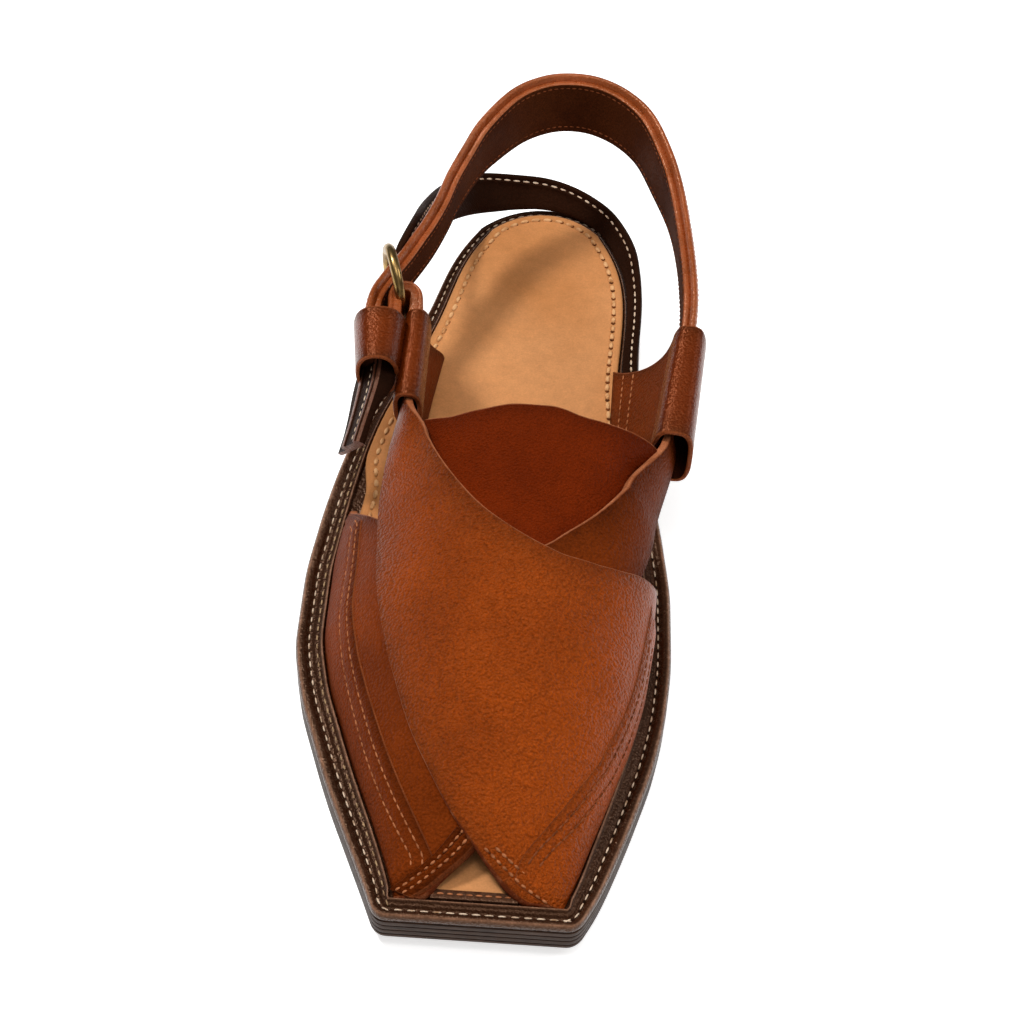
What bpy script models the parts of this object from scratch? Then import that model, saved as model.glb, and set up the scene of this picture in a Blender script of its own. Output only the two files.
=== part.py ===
"""A right peshawari chappal: a layered leather sole with a square toe, two crossing straps joined into one
upper, side wings rolled into sleeves, and a sling strap held by a brass ring.

Frame: the toe points to -Y, the heel to +Y, the wearer's inner (medial) side is +X and the outer
(lateral) side is -X. Z is up and the shoe stands on Z = 0. Tables are in millimetres.
"""

import math

import bmesh
import bpy
import numpy as np
from mathutils import Vector

MM = 0.001

# ---------------------------------------------------------------- driving sizes, in millimetres
TOE_EDGE_Y = -146.8
HEEL_CENTRE_X, HEEL_START_Y, HEEL_DEPTH = 8.0, 95.0, 46.5
TOE_SPRING, TOE_SPRING_START_Y = 3.6, -90.0
HEEL_RAISE, RAISE_START_Y, RAISE_END_Y = 10.0, -40.0, 45.0
GAP = 0.3
OUTSOLE_TOP = 7.6
SHELF_TOP = 10.55
INSOLE_BOTTOM, INSOLE_TOP = SHELF_TOP + GAP, 12.9
UPPER_BASE = SHELF_TOP + GAP
FULL_RIM = 8.2
STRAP_THICK, OVER_THICK, EMBED, OVERLAY_STEP = 2.4, 2.0, 0.7, 0.9
TONGUE_THICK = 1.8
MIDDLE_X, MIDDLE_Y = 0.85, -0.15  # the middle of the whole shoe, which the finished parts have at the origin


def table(columns, rows):
    """A short table as a dictionary of columns."""
    return dict(zip(columns.split(), (list(map(float, column)) for column in zip(*rows))))


def along(rows, key, column, at):
    """A column of a table read at any place, on a smooth curve that never overshoots its rows."""
    xs, ys = rows[key], rows[column]
    rising = xs[-1] > xs[0]
    if not rising:
        xs, ys = xs[::-1], ys[::-1]
    at = min(max(at, xs[0]), xs[-1])
    i = max(j for j in range(len(xs) - 1) if xs[j] <= at)
    width = [b - a for a, b in zip(xs, xs[1:])]
    slope = [(b - a) / w for a, b, w in zip(ys, ys[1:], width)]

    def tangent(j):
        if j == 0:
            return slope[0]
        if j == len(xs) - 1:
            return slope[-1]
        before, after = slope[j - 1], slope[j]
        return 0.0 if before * after <= 0 else 2 * before * after / (before + after)

    h, t = width[i], (at - xs[i]) / width[i]
    return (
        (2 * t**3 - 3 * t**2 + 1) * ys[i]
        + (t**3 - 2 * t**2 + t) * h * tangent(i)
        + (3 * t**2 - 2 * t**3) * ys[i + 1]
        + (t**3 - t**2) * h * tangent(i + 1)
    )


def ease(t):
    t = min(max(t, 0.0), 1.0)
    return t * t * (3 - 2 * t)


def mix(a, b, t):
    return [p + (q - p) * t for p, q in zip(a, b)]


# ---------------------------------------------------------------- the sole's outline
# The outline of the welt's lip from toe to heel, and how wide the rim is between lip and upper or insole.
OUTLINE = table(
    "y lateral medial rim_lateral rim_medial",
    [
        (-146.8, -25.0, 28.8, 5.4, 5.4),
        (-135.0, -29.6, 34.2, 6.8, 6.6),
        (-120.0, -35.8, 39.4, 7.7, 7.6),
        (-105.0, -42.0, 44.0, 8.1, 8.0),
        (-88.0, -48.2, 48.6, 8.2, 8.2),
        (-70.0, -54.0, 51.6, 8.2, 8.2),
        (-50.0, -57.4, 52.9, 8.2, 8.2),
        (-30.0, -57.6, 52.6, 8.2, 8.2),
        (-10.0, -55.6, 50.2, 8.0, 8.0),
        (10.0, -52.0, 46.6, 7.2, 7.6),
        (30.0, -46.8, 43.4, 6.2, 7.4),
        (50.0, -40.2, 41.4, 5.8, 7.0),
        (70.0, -33.4, 41.0, 5.6, 5.8),
        (82.0, -29.6, 41.4, 4.9, 5.4),
        (95.0, -26.6, 41.5, 4.5, 5.3),
    ],
)


def sole_height(y):
    """How far the sole's underside stands off the floor: toe spring, arch and the rise onto the heel."""
    spring = TOE_SPRING * max(0.0, (TOE_SPRING_START_Y - y) / (TOE_SPRING_START_Y - TOE_EDGE_Y)) ** 2
    return spring + HEEL_RAISE * ease((y - RAISE_START_Y) / (RAISE_END_Y - RAISE_START_Y))


def half_outline(side):
    """One side of the outline from the toe's edge to the back of the heel, as (x, y, rim width)."""
    sign = -1 if side == "lateral" else 1
    corner = OUTLINE[side][0]
    points = []
    for t in (0.0, 0.3, 0.7, 1.0):
        start, end = (corner - sign * 3.2, TOE_EDGE_Y), (along(OUTLINE, "y", side, -142.8), -142.8)
        x = (1 - t) ** 2 * start[0] + 2 * t * (1 - t) * corner + t**2 * end[0]
        y = (1 - t) ** 2 * start[1] + 2 * t * (1 - t) * TOE_EDGE_Y + t**2 * end[1]
        points.append((x, y, OUTLINE["rim_" + side][0]))
    for y in (-134, -124, -114, -103, -92, -80, -68, -56, -44, -32, -20, -8, 5, 18, 32, 46, 60, 73, 85):
        points.append((along(OUTLINE, "y", side, y), y, along(OUTLINE, "y", "rim_" + side, y)))
    half_width = abs(OUTLINE[side][-1] - HEEL_CENTRE_X)
    for degrees in (0, 14, 28, 42, 54, 65, 75, 83):
        angle = math.radians(degrees)
        x = HEEL_CENTRE_X + sign * half_width * math.cos(angle)
        y = HEEL_START_Y + HEEL_DEPTH * math.sin(angle)
        rim = OUTLINE["rim_" + side][-1] + (4.8 - OUTLINE["rim_" + side][-1]) * ease(degrees / 90)
        points.append((x, y, rim))
    return points


def outline_loop(first=0):
    """The whole outline as (place, outward normal, rim width), the medial side first, from station `first`."""
    medial, lateral = half_outline("medial")[first:], half_outline("lateral")[first:]
    loop = medial + lateral[::-1]
    result = []
    for i, (x, y, rim) in enumerate(loop):
        before, after = loop[i - 1], loop[(i + 1) % len(loop)]
        normal = Vector((after[1] - before[1], before[0] - after[0], 0)).normalized()
        result.append((Vector((x, y, 0)), normal, rim))
    return result


def inset_x(side, y, inset):
    """X of the outline moved in by `inset`, on one side, at one station."""
    slope = (along(OUTLINE, "y", side, y + 1) - along(OUTLINE, "y", side, y - 1)) / 2
    inward = 1 if side == "lateral" else -1
    return along(OUTLINE, "y", side, y) + inward * inset * math.sqrt(1 + slope * slope)


# ---------------------------------------------------------------- meshes and materials
def linear(channel):
    return channel / 12.92 if channel <= 0.04045 else ((channel + 0.055) / 1.055) ** 2.4


def material(name, hex_colour, roughness, metallic=0.0):
    made = bpy.data.materials.new(name)
    made.use_nodes = True
    shader = made.node_tree.nodes["Principled BSDF"]
    channels = [int(hex_colour[i : i + 2], 16) / 255 for i in (1, 3, 5)]
    shader.inputs["Base Color"].default_value = [linear(c) for c in channels] + [1.0]
    shader.inputs["Roughness"].default_value = roughness
    shader.inputs["Metallic"].default_value = metallic
    return made


def add_object(name, points, faces, made_of, helper=False):
    """An object from points in millimetres. A helper is only an operand of a Boolean."""
    mesh = bpy.data.meshes.new(name)
    places = [Vector((x - MIDDLE_X, y - MIDDLE_Y, z)) * MM for x, y, z in points]
    mesh.from_pydata(places, [], faces)
    work = bmesh.new()
    work.from_mesh(mesh)
    bmesh.ops.recalc_face_normals(work, faces=work.faces[:])
    if work.calc_volume(signed=True) < 0:
        bmesh.ops.reverse_faces(work, faces=work.faces[:])
    work.to_mesh(mesh)
    work.free()
    mesh.materials.append(made_of)
    mesh.shade_smooth()
    mesh.set_sharp_from_angle(angle=math.radians(35))
    obj = bpy.data.objects.new(name, mesh)
    bpy.context.scene.collection.objects.link(obj)
    if helper:
        obj.hide_render = True
        obj.display_type = "WIRE"
    return obj


def unite(obj, other):
    modifier = obj.modifiers.new("join " + other.name, "BOOLEAN")
    modifier.operation = "UNION"
    modifier.solver = "EXACT"
    modifier.object = other


def settle(obj):
    """Applies the unions and fills the hair-thin closed pockets that are left between joined layers."""
    graph = bpy.context.evaluated_depsgraph_get()
    mesh = bpy.data.meshes.new_from_object(obj.evaluated_get(graph))
    obj.modifiers.clear()
    obj.data = mesh
    work = bmesh.new()
    work.from_mesh(mesh)
    bmesh.ops.triangulate(work, faces=work.faces[:])
    unseen, shells = set(work.verts), []
    while unseen:
        shell, edge = set(), [unseen.pop()]
        while edge:
            vertex = edge.pop()
            shell.add(vertex)
            for line in vertex.link_edges:
                other = line.other_vert(vertex)
                if other in unseen:
                    unseen.remove(other)
                    edge.append(other)
        shells.append(shell)
    shells.sort(key=len)
    bmesh.ops.delete(work, geom=[v for shell in shells[:-1] for v in shell], context="VERTS")
    work.to_mesh(mesh)
    work.free()
    mesh.shade_smooth()
    mesh.set_sharp_from_angle(angle=math.radians(35))


def skin(rings, around=True):
    """Faces that join rings of equal length one to the next."""
    count = len(rings[0])
    faces = []
    for r in range(len(rings) - 1):
        for i in range(count if around else count - 1):
            j = (i + 1) % count
            faces.append((r * count + i, r * count + j, (r + 1) * count + j, (r + 1) * count + i))
    return faces


def add_plate(name, profile, made_of, first=0, follow_rim=False):
    """A plate with the sole's outline. `profile` rows are (inset, height), from the bottom edge to the top."""
    loop = outline_loop(first)
    count = len(loop)
    points = []
    for inset, height in profile:
        for place, normal, rim in loop:
            p = place - normal * (inset * rim / FULL_RIM if follow_rim else inset)
            points.append((p.x, p.y, height(p.y) if callable(height) else sole_height(p.y) + height))
    rings = [range(count)] * len(profile)
    faces = skin(rings)
    top = count * (len(profile) - 1)
    for i in range(count // 2 - 1):
        a, b, c, d = i, i + 1, count - 2 - i, count - 1 - i
        faces.append((d, c, b, a))
        faces.append((top + a, top + b, top + c, top + d))
    return add_object(name, points, faces, made_of)


def add_sheet(name, outer, inner, made_of, helper=False):
    """A closed sheet between two grids of points that have the same rows and columns."""
    rows, cols = len(outer), len(outer[0])
    points = [p for row in outer for p in row] + [p for row in inner for p in row]
    back = rows * cols
    faces = []
    for r in range(rows - 1):
        for c in range(cols - 1):
            a = r * cols + c
            faces.append((a, a + 1, a + cols + 1, a + cols))
            faces.append((back + a, back + a + cols, back + a + cols + 1, back + a + 1))
    edge = [c for c in range(cols)]
    edge += [r * cols + cols - 1 for r in range(1, rows)]
    edge += [(rows - 1) * cols + c for c in range(cols - 2, -1, -1)]
    edge += [r * cols for r in range(rows - 2, 0, -1)]
    for i, a in enumerate(edge):
        b = edge[(i + 1) % len(edge)]
        faces.append((a, back + a, back + b, b))
    return add_object(name, points, faces, made_of, helper)


# ---------------------------------------------------------------- the upper's surface over the foot
# Sections across the shoe: height above the base line, lean towards the medial side, and how square
# each flank is (2 is an ellipse).
LAST = table(
    "y height lean square_lateral square_medial",
    [
        (-141.0, 1.7, 0.05, 2.0, 2.0),
        (-137.0, 4.6, 0.08, 2.0, 2.0),
        (-130.0, 7.8, 0.10, 2.0, 2.0),
        (-115.0, 15.2, 0.14, 2.0, 2.0),
        (-100.0, 22.5, 0.17, 2.0, 2.0),
        (-80.0, 30.5, 0.20, 2.0, 2.1),
        (-60.0, 36.5, 0.20, 2.1, 2.2),
        (-40.0, 42.0, 0.20, 2.1, 2.5),
        (-20.0, 46.5, 0.20, 2.2, 2.9),
        (0.0, 49.5, 0.19, 2.2, 3.0),
        (20.0, 52.0, 0.19, 2.2, 3.0),
    ],
)
SECTION_STEPS = 64


def section(y, inset=0.0):
    """The section at one station, `inset` inside the upper's outer face, as rows (x, z, share of length)."""
    left = inset_x("lateral", y, along(OUTLINE, "y", "rim_lateral", y) + GAP + inset)
    right = inset_x("medial", y, along(OUTLINE, "y", "rim_medial", y) + GAP + inset)
    height = along(LAST, "y", "height", y) - inset
    lean = along(LAST, "y", "lean", y)
    centre, base = (left + right) / 2, sole_height(y) + UPPER_BASE
    rows, length = [], 0.0
    for i in range(SECTION_STEPS + 1):
        angle = math.pi * (i / SECTION_STEPS - 0.5)
        side = "square_lateral" if angle < 0 else "square_medial"
        power = 2 / along(LAST, "y", side, y)
        across = (centre - left) if angle < 0 else (right - centre)
        up = height * max(math.cos(angle), 0.0) ** power
        x = centre + math.copysign(abs(math.sin(angle)) ** power, angle) * across + lean * up
        if rows:
            length += math.hypot(x - rows[-1][0], base + up - rows[-1][1])
        rows.append((x, base + up, length))
    return [(x, z, run / length) for x, z, run in rows]


def upper_point(y, u, inset=0.0):
    """A place on the upper: `u` runs from 0 at the lateral base to 1 at the medial base."""
    rows = section(y, inset)
    for (x0, z0, u0), (x1, z1, u1) in zip(rows, rows[1:]):
        if u <= u1 or u1 == 1.0:
            t = (u - u0) / (u1 - u0)
            return (x0 + (x1 - x0) * t, y, z0 + (z1 - z0) * t)


# Where each strap's front and rear edges run on that surface, from its sleeve (share 0) to its base (share 1).
OVER = table(
    "share front_y front_u rear_y rear_u",
    [
        (0.00, 11.0, 0.226, 8.0, 0.261),
        (0.08, -8.0, 0.219, -3.0, 0.295),
        (0.17, -32.0, 0.221, -15.8, 0.339),
        (0.25, -56.0, 0.233, -27.0, 0.390),
        (0.33, -78.0, 0.243, -36.0, 0.445),
        (0.41, -96.0, 0.268, -43.0, 0.512),
        (0.49, -109.5, 0.312, -47.5, 0.577),
        (0.57, -120.0, 0.368, -49.5, 0.625),
        (0.65, -128.5, 0.457, -49.9, 0.680),
        (0.74, -134.0, 0.545, -49.0, 0.730),
        (0.83, -138.3, 0.660, -46.5, 0.785),
        (0.91, -141.0, 0.810, -42.0, 0.870),
        (1.00, -141.0, 1.000, -34.0, 1.000),
    ],
)
UNDER = table(
    "share front_y front_u rear_y rear_u",
    [
        (0.00, -4.0, 0.870, -8.0, 0.790),
        (0.08, -18.0, 0.850, -15.4, 0.745),
        (0.17, -31.0, 0.830, -22.8, 0.716),
        (0.25, -45.0, 0.805, -33.2, 0.668),
        (0.33, -62.0, 0.760, -40.5, 0.621),
        (0.41, -80.0, 0.710, -46.5, 0.570),
        (0.49, -97.0, 0.650, -48.5, 0.500),
        (0.57, -112.0, 0.580, -47.5, 0.420),
        (0.65, -121.5, 0.525, -43.0, 0.335),
        (0.74, -128.1, 0.463, -36.0, 0.260),
        (0.81, -132.4, 0.380, -28.0, 0.200),
        (0.88, -136.7, 0.280, -20.0, 0.130),
        (0.94, -141.0, 0.150, -12.0, 0.060),
        (1.00, -141.0, 0.000, -4.0, 0.000),
    ],
)
UNDER_FRONT = table("y u", sorted(zip(UNDER["front_y"][:-1], UNDER["front_u"][:-1])))
STRAP_ROWS, STRAP_COLS = 26, 12


def near_base(u):
    """1 away from the base line and 0 on it, so that every layer comes down onto the sole at one line."""
    return ease(min(u, 1 - u) / 0.05)


def skive(y):
    """The share of a strap's thickness that is left where the leather is thinned for the toe."""
    return 0.55 + 0.45 * ease((y + 138) / 30)


def lift(y, u):
    """How far the over strap stands off the upper's surface: full where it rides on the under strap."""
    past = u - along(UNDER_FRONT, "y", "u", y)
    return OVER_THICK * (1 - ease((past + 0.15) / 0.60)) * near_base(u)


def strap_grid(edges, depth, sleeve_end, blend):
    """Points of one face of a strap. `depth(y, u)` is the inset of that face. Near its sleeve the strap
    turns on edge, to end between the two points of `sleeve_end` (front edge, rear edge)."""
    grid = []
    for r in range(STRAP_ROWS):
        share = r / (STRAP_ROWS - 1)
        front = [along(edges, "share", "front_y", share), along(edges, "share", "front_u", share)]
        rear = [along(edges, "share", "rear_y", share), along(edges, "share", "rear_u", share)]
        row = []
        for c in range(STRAP_COLS):
            across = c / (STRAP_COLS - 1)
            y, u = mix(front, rear, across * (0.4 + 0.6 * across))
            point = upper_point(y, u, depth(y, u))
            if share < blend:
                end = mix(sleeve_end[0], sleeve_end[1], across)
                t = share / blend
                turn = ease(t**1.5)
                point = [mix(end, point, turn)[0], mix(end, point, t)[1], mix(end, point, turn)[2]]
            row.append(point)
        grid.append(row)
    return grid


# The overlays that run up each side from the base, by the share of the section where each one ends.
OVERLAY_LATERAL = table(
    "y u",
    [(-138.5, 0.040), (-135.0, 0.160), (-131.8, 0.262), (-127.0, 0.245), (-123.0, 0.229), (-114.0, 0.200),
     (-105.0, 0.182), (-94.0, 0.166), (-80.0, 0.152), (-60.0, 0.149), (-40.0, 0.153), (-24.0, 0.152), (-6.0, 0.020)],
)
OVERLAY_MEDIAL = table(
    "y u",
    [(-140.6, 0.940), (-137.6, 0.800), (-134.0, 0.655), (-131.0, 0.660), (-127.6, 0.694), (-122.0, 0.740), (-115.5, 0.779),
     (-108.0, 0.811), (-100.0, 0.838), (-85.0, 0.852), (-67.0, 0.857), (-50.0, 0.850)],
)


def overlay_grid(rows, base_u, depth):
    stations = []
    for a, b in zip(rows["y"], rows["y"][1:]):
        stations += [a, (a + b) / 2]
    grid = []
    for y in stations + rows["y"][-1:]:
        edge = along(rows, "y", "u", y)
        shares = [base_u + (edge - base_u) * c / 5 for c in range(6)]
        grid.append([upper_point(y, u, depth(y, u)) for u in shares])
    return grid


# The folded hem of the under strap where it crosses the open toe, by its free edge and its inner edge.
TOE_HEM = table(
    "share free_y free_u inner_y inner_u",
    [(0.0, -126.6, 0.478, -123.6, 0.385), (0.3, -131.2, 0.406, -128.4, 0.310), (0.6, -135.4, 0.314, -132.6, 0.225),
     (0.85, -139.2, 0.205, -136.4, 0.110), (1.0, -140.8, 0.140, -137.9, 0.045)],
)


def hem_grid(depth):
    grid = []
    for r in range(12):
        free = [along(TOE_HEM, "share", "free_y", r / 11), along(TOE_HEM, "share", "free_u", r / 11)]
        inner = [along(TOE_HEM, "share", "inner_y", r / 11), along(TOE_HEM, "share", "inner_u", r / 11)]
        grid.append([upper_point(*mix(free, inner, c / 3), depth) for c in range(4)])
    return grid


# ---------------------------------------------------------------- straps, tubes and rings in the air
def frames(rows, count, closed=False):
    """Evenly spread frames along a table with columns share, x, y, z and lean: (place, outward, width)."""
    shares = [i / (count - 1) for i in range(count)]
    places = [Vector([along(rows, "share", axis, s) for axis in "xyz"]) for s in shares]
    result = []
    for i, place in enumerate(places):
        run = (places[min(i + 1, count - 1)] - places[max(i - 1, 0)]).normalized()
        outward = Vector((-run.y, run.x, 0)).normalized()
        lean = math.radians(along(rows, "share", "lean", shares[i]))
        upward = (Vector((0, 0, 1)) - run * run.z).normalized()
        width = upward * math.cos(lean) + outward * math.sin(lean)
        result.append((place, width.cross(run).normalized(), width, shares[i]))
    return result


def smoothed(rows, keys, count):
    """A table made of the rounded curve through `rows`, evenly spaced along its length."""
    points = [Vector([rows[k][i] for k in keys]) for i in range(len(rows[keys[0]]))]
    fine = []
    for i in range(len(points) - 1):
        p0, p1 = points[max(i - 1, 0)], points[i]
        p2, p3 = points[i + 1], points[min(i + 2, len(points) - 1)]
        for step in range(12):
            t = step / 12
            fine.append(
                0.5 * ((2 * p1) + (p2 - p0) * t + (2 * p0 - 5 * p1 + 4 * p2 - p3) * t**2
                       + (3 * p1 - p0 - 3 * p2 + p3) * t**3)
            )
    fine.append(points[-1])
    run = [0.0]
    for a, b in zip(fine, fine[1:]):
        run.append(run[-1] + (Vector(b[:3]) - Vector(a[:3])).length)
    table_rows = []
    j = 0
    for i in range(count):
        target = run[-1] * i / (count - 1)
        while j < len(run) - 2 and run[j + 1] < target:
            j += 1
        t = (target - run[j]) / (run[j + 1] - run[j])
        table_rows.append([i / (count - 1)] + list(fine[j].lerp(fine[j + 1], t)))
    return table("share " + " ".join(keys), table_rows)


def add_ribbon(name, rows, count, shape, made_of, helper=False):
    """A strap swept along a route. `shape(share)` gives its section as (outward, up) places, as a loop."""
    rings = []
    for place, outward, width, share in frames(rows, count):
        rings.append([place + outward * a + width * b for a, b in shape(share)])
    return add_loft(name, rings, made_of, helper)


def add_loft(name, rings, made_of, helper=False):
    count = len(rings[0])
    points = [p for ring in rings for p in ring]
    faces = skin(rings)
    faces.append(tuple(range(count))[::-1])
    faces.append(tuple(range(len(points) - count, len(points))))
    return add_object(name, points, faces, made_of, helper)


def oval(thick, wide, count, square=2.6):
    """A rounded loop, as (across, up) places."""
    power, places = 2 / square, []
    for i in range(count):
        a = 2 * math.pi * i / count
        places.append(
            (thick / 2 * math.copysign(abs(math.cos(a)) ** power, math.cos(a)),
             wide / 2 * math.copysign(abs(math.sin(a)) ** power, math.sin(a)))
        )
    return places


def add_tube(name, front, rear, thick, wide, wall, made_of, steps=4, count=22, upright=False, square=2.8):
    """An open oval tube from `front` to `rear`. `thick` and `wide` are (front, rear) outer sizes. Its ends
    are cut square, or in an upright plane."""
    front, rear = Vector(front), Vector(rear)
    run = (rear - front).normalized()
    up = Vector((0, 0, 1)) if upright else (Vector((0, 0, 1)) - run * run.z).normalized()
    across = run.cross(up).normalized()
    rings = []
    for inward in (0.0, wall):
        order = range(steps) if inward == 0.0 else range(steps - 1, -1, -1)
        for i in order:
            t = i / (steps - 1)
            t_size = thick[0] + (thick[1] - thick[0]) * t - 2 * inward
            w_size = wide[0] + (wide[1] - wide[0]) * t - 2 * inward
            centre = front.lerp(rear, t)
            rings.append([centre + across * a + up * b for a, b in oval(t_size, w_size, count, square)])
    points = [p for ring in rings for p in ring]
    faces = skin(rings)
    last = len(points) - count
    for i in range(count):
        j = (i + 1) % count
        faces.append((last + i, last + j, j, i))
    return add_object(name, points, faces, made_of)


# ---------------------------------------------------------------- the pieces
def add_sole(materials):
    layer = OUTSOLE_TOP / 3
    profile = [(1.2, 0.0), (0.3, 0.5)]
    for i in (1, 2):
        profile += [(0.1, i * layer - 0.35), (0.5, i * layer), (0.1, i * layer + 0.35)]
    profile += [(0.4, OUTSOLE_TOP)]
    add_plate("outsole", profile, materials["sole"])

    heel_first = next(i for i, (x, y, rim) in enumerate(half_outline("medial")) if y > 65)
    lift_top = HEEL_RAISE - GAP
    heel = [(2.0, lambda y: 0.0), (1.0, lambda y: 0.9), (0.7, lambda y: lift_top / 2 - 0.4),
            (1.1, lambda y: lift_top / 2), (0.7, lambda y: lift_top / 2 + 0.4), (0.7, lambda y: lift_top)]
    add_plate("heel_lift", heel, materials["sole"], first=heel_first)

    bottom = OUTSOLE_TOP + GAP
    rim = [(0.8, bottom), (0.1, bottom + 0.7), (0.0, 9.4), (0.5, 10.5), (1.5, 11.0), (3.0, 10.9), (3.6, 10.2),
           (5.9, 10.2), (6.3, 11.0), (7.1, 11.5), (7.8, 11.1), (FULL_RIM, SHELF_TOP)]
    add_plate("welt", rim, materials["welt"], follow_rim=True)


# How far inside the rim the insole stops, so that it clears the inside of the upper.
INSOLE_INSET = table(
    "y more",
    [(-138.2, 9.4), (-134.0, 7.4), (-129.0, 5.6), (-122.0, 4.6), (-110.0, 3.8), (0.0, 3.8),
     (16.0, 0.5), (95.0, 0.5)],
)


def insole_top(y):
    """The insole's top, a little lower under the toe, where the straps come down to the sole."""
    return INSOLE_TOP - 1.1 * ease((-122 - y) / 14)


def insole_loop(extra):
    sides = []
    for side in ("medial", "lateral"):
        stations = [-138.2, -136.2, -133.0, -129.0] + [y for x, y, rim in half_outline(side) if -128 < y < 94]
        half = [
            (inset_x(side, y, along(OUTLINE, "y", "rim_" + side, y) + along(INSOLE_INSET, "y", "more", y) + extra), y)
            for y in stations
        ]
        sides.append([(x, max(y, -138.2 + extra)) for x, y in half])
    heel = [
        (p.x, p.y)
        for p in (place - normal * (rim + 0.5 + extra) for place, normal, rim in outline_loop() if place.y > 94.9)
    ]
    return sides[0] + heel + sides[1][::-1]


def add_insole(materials):
    points, count = [], 0
    for extra, drop in ((0.0, None), (0.0, 0.4), (0.5, 0.0)):
        loop = insole_loop(extra)
        count = len(loop)
        points += [(x, y, sole_height(y) + (INSOLE_BOTTOM if drop is None else insole_top(y) - drop)) for x, y in loop]
    faces = skin([range(count)] * 3)
    top = 2 * count
    for i in range(count // 2 - 1):
        a, b, c, d = i, i + 1, count - 2 - i, count - 1 - i
        faces.append((d, c, b, a))
        faces.append((top + a, top + b, top + c, top + d))
    add_object("insole", points, faces, materials["insole"])


OVER_END = ((-31.3, 19.0, 42.0), (-29.9, 15.2, 48.6))
UNDER_END = ((50.6, 9.0, 37.0), (48.4, 8.0, 48.0))


def beside(end, shift):
    """Both end places of a strap moved sideways, for its inner or its outer face."""
    return [(x + shift, y, z) for x, y, z in end]


def add_upper(materials):
    leather = materials["leather"]
    half = STRAP_THICK / 2
    over = add_sheet(
        "upper",
        strap_grid(OVER, lambda y, u: -lift(y, u), beside(OVER_END, -half), 0.12),
        strap_grid(OVER, lambda y, u: (OVER_THICK + EMBED) * skive(y) - lift(y, u), beside(OVER_END, half), 0.12),
        leather,
    )
    parts = [
        ("under_strap", strap_grid(UNDER, lambda y, u: 0.0, beside(UNDER_END, half), 0.16),
         strap_grid(UNDER, lambda y, u: STRAP_THICK * skive(y), beside(UNDER_END, -half), 0.16)),
        ("toe_hem", hem_grid(-OVERLAY_STEP - 0.3), hem_grid(1.1)),
        ("overlay_lateral", overlay_grid(OVERLAY_LATERAL, 0.0, lambda y, u: -OVERLAY_STEP * near_base(u)),
         overlay_grid(OVERLAY_LATERAL, 0.0, lambda y, u: 0.8)),
        ("overlay_medial", overlay_grid(OVERLAY_MEDIAL, 1.0, lambda y, u: -OVERLAY_STEP * near_base(u) - lift(y, u)),
         overlay_grid(OVERLAY_MEDIAL, 1.0, lambda y, u: 0.8 - lift(y, u))),
    ]
    for name, outer, inner in parts:
        unite(over, add_sheet(name, outer, inner, leather, helper=True))
    settle(over)


# The tongue's top edge, from its lateral to its medial end, and its sides down to its front end.
TONGUE = table(
    "across top_y top_u front_y front_u",
    [
        (0.00, 1.0, 0.280, -70.0, 0.430),
        (0.15, -2.2, 0.360, -73.0, 0.455),
        (0.30, -1.9, 0.420, -75.0, 0.485),
        (0.45, -0.8, 0.490, -76.0, 0.515),
        (0.60, -0.8, 0.560, -76.0, 0.545),
        (0.75, -3.0, 0.635, -75.0, 0.575),
        (0.88, -3.4, 0.700, -73.0, 0.605),
        (1.00, -2.6, 0.758, -70.0, 0.630),
    ],
)


TONGUE_FLARE = 6.0  # how far its inner top corner turns out towards the medial sleeve


def add_tongue(materials):
    def grid(inset):
        rows = []
        for r in range(12):
            row = []
            for c in range(12):
                top = [along(TONGUE, "across", "top_y", c / 11), along(TONGUE, "across", "top_u", c / 11)]
                front = [along(TONGUE, "across", "front_y", c / 11), along(TONGUE, "across", "front_u", c / 11)]
                y, u = mix(top, front, r / 11)
                x, y, z = upper_point(y, u, inset)
                row.append((x + TONGUE_FLARE * ease((c / 11 - 0.7) / 0.3) * ease((y + 9) / 7), y, z))
            rows.append(row)
        return rows

    outer = STRAP_THICK + GAP
    add_sheet("tongue", grid(outer), grid(outer + TONGUE_THICK), materials["tongue"])


def add_toe_strip(materials):
    left, right, back, front = -10.6, 12.4, -138.6, -140.6
    low, high = SHELF_TOP + GAP, 11.7
    points = []
    for z in (low, high):
        for x, y in ((left, front), (right, front), (right, back), (left, back)):
            points.append((x, y, sole_height(y) + z))
    faces = [(3, 2, 1, 0), (4, 5, 6, 7), (0, 1, 5, 4), (1, 2, 6, 5), (2, 3, 7, 6), (3, 0, 4, 7)]
    add_object("toe_strip", points, faces, materials["welt"])


# Each wing by its four corners: where it leaves the sleeve (front, rear) and where it meets the insole.
WINGS = {
    "lateral": {
        "front": (-30.3, 14.0, 42.0), "rear": (-29.4, 42.5, 51.0), "thick": (8.4, 6.8), "wide": (20.0, 20.0),
        "sleeve": ((-26.9, 16.0, 43.0), (-26.9, 41.0, 52.0)), "base": ((-26.2, 31.0), (-23.0, 59.0)),
        "bulge": 0.8, "sag": 0.0, "wall": 1.3, "upright": False, "square": 2.8,
    },
    "medial": {
        "front": (49.9, 1.6, 41.5), "rear": (54.0, 36.5, 51.6), "thick": (12.6, 10.6), "wide": (21.0, 23.5),
        "sleeve": ((44.5, 3.5, 42.5), (49.7, 36.0, 54.0)), "base": ((32.0, 2.0), (33.2, 57.0)),
        "bulge": -2.0, "sag": 5.0, "wall": 1.5, "upright": True, "square": 3.2,
    },
}
WING_THICK = 1.5


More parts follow.
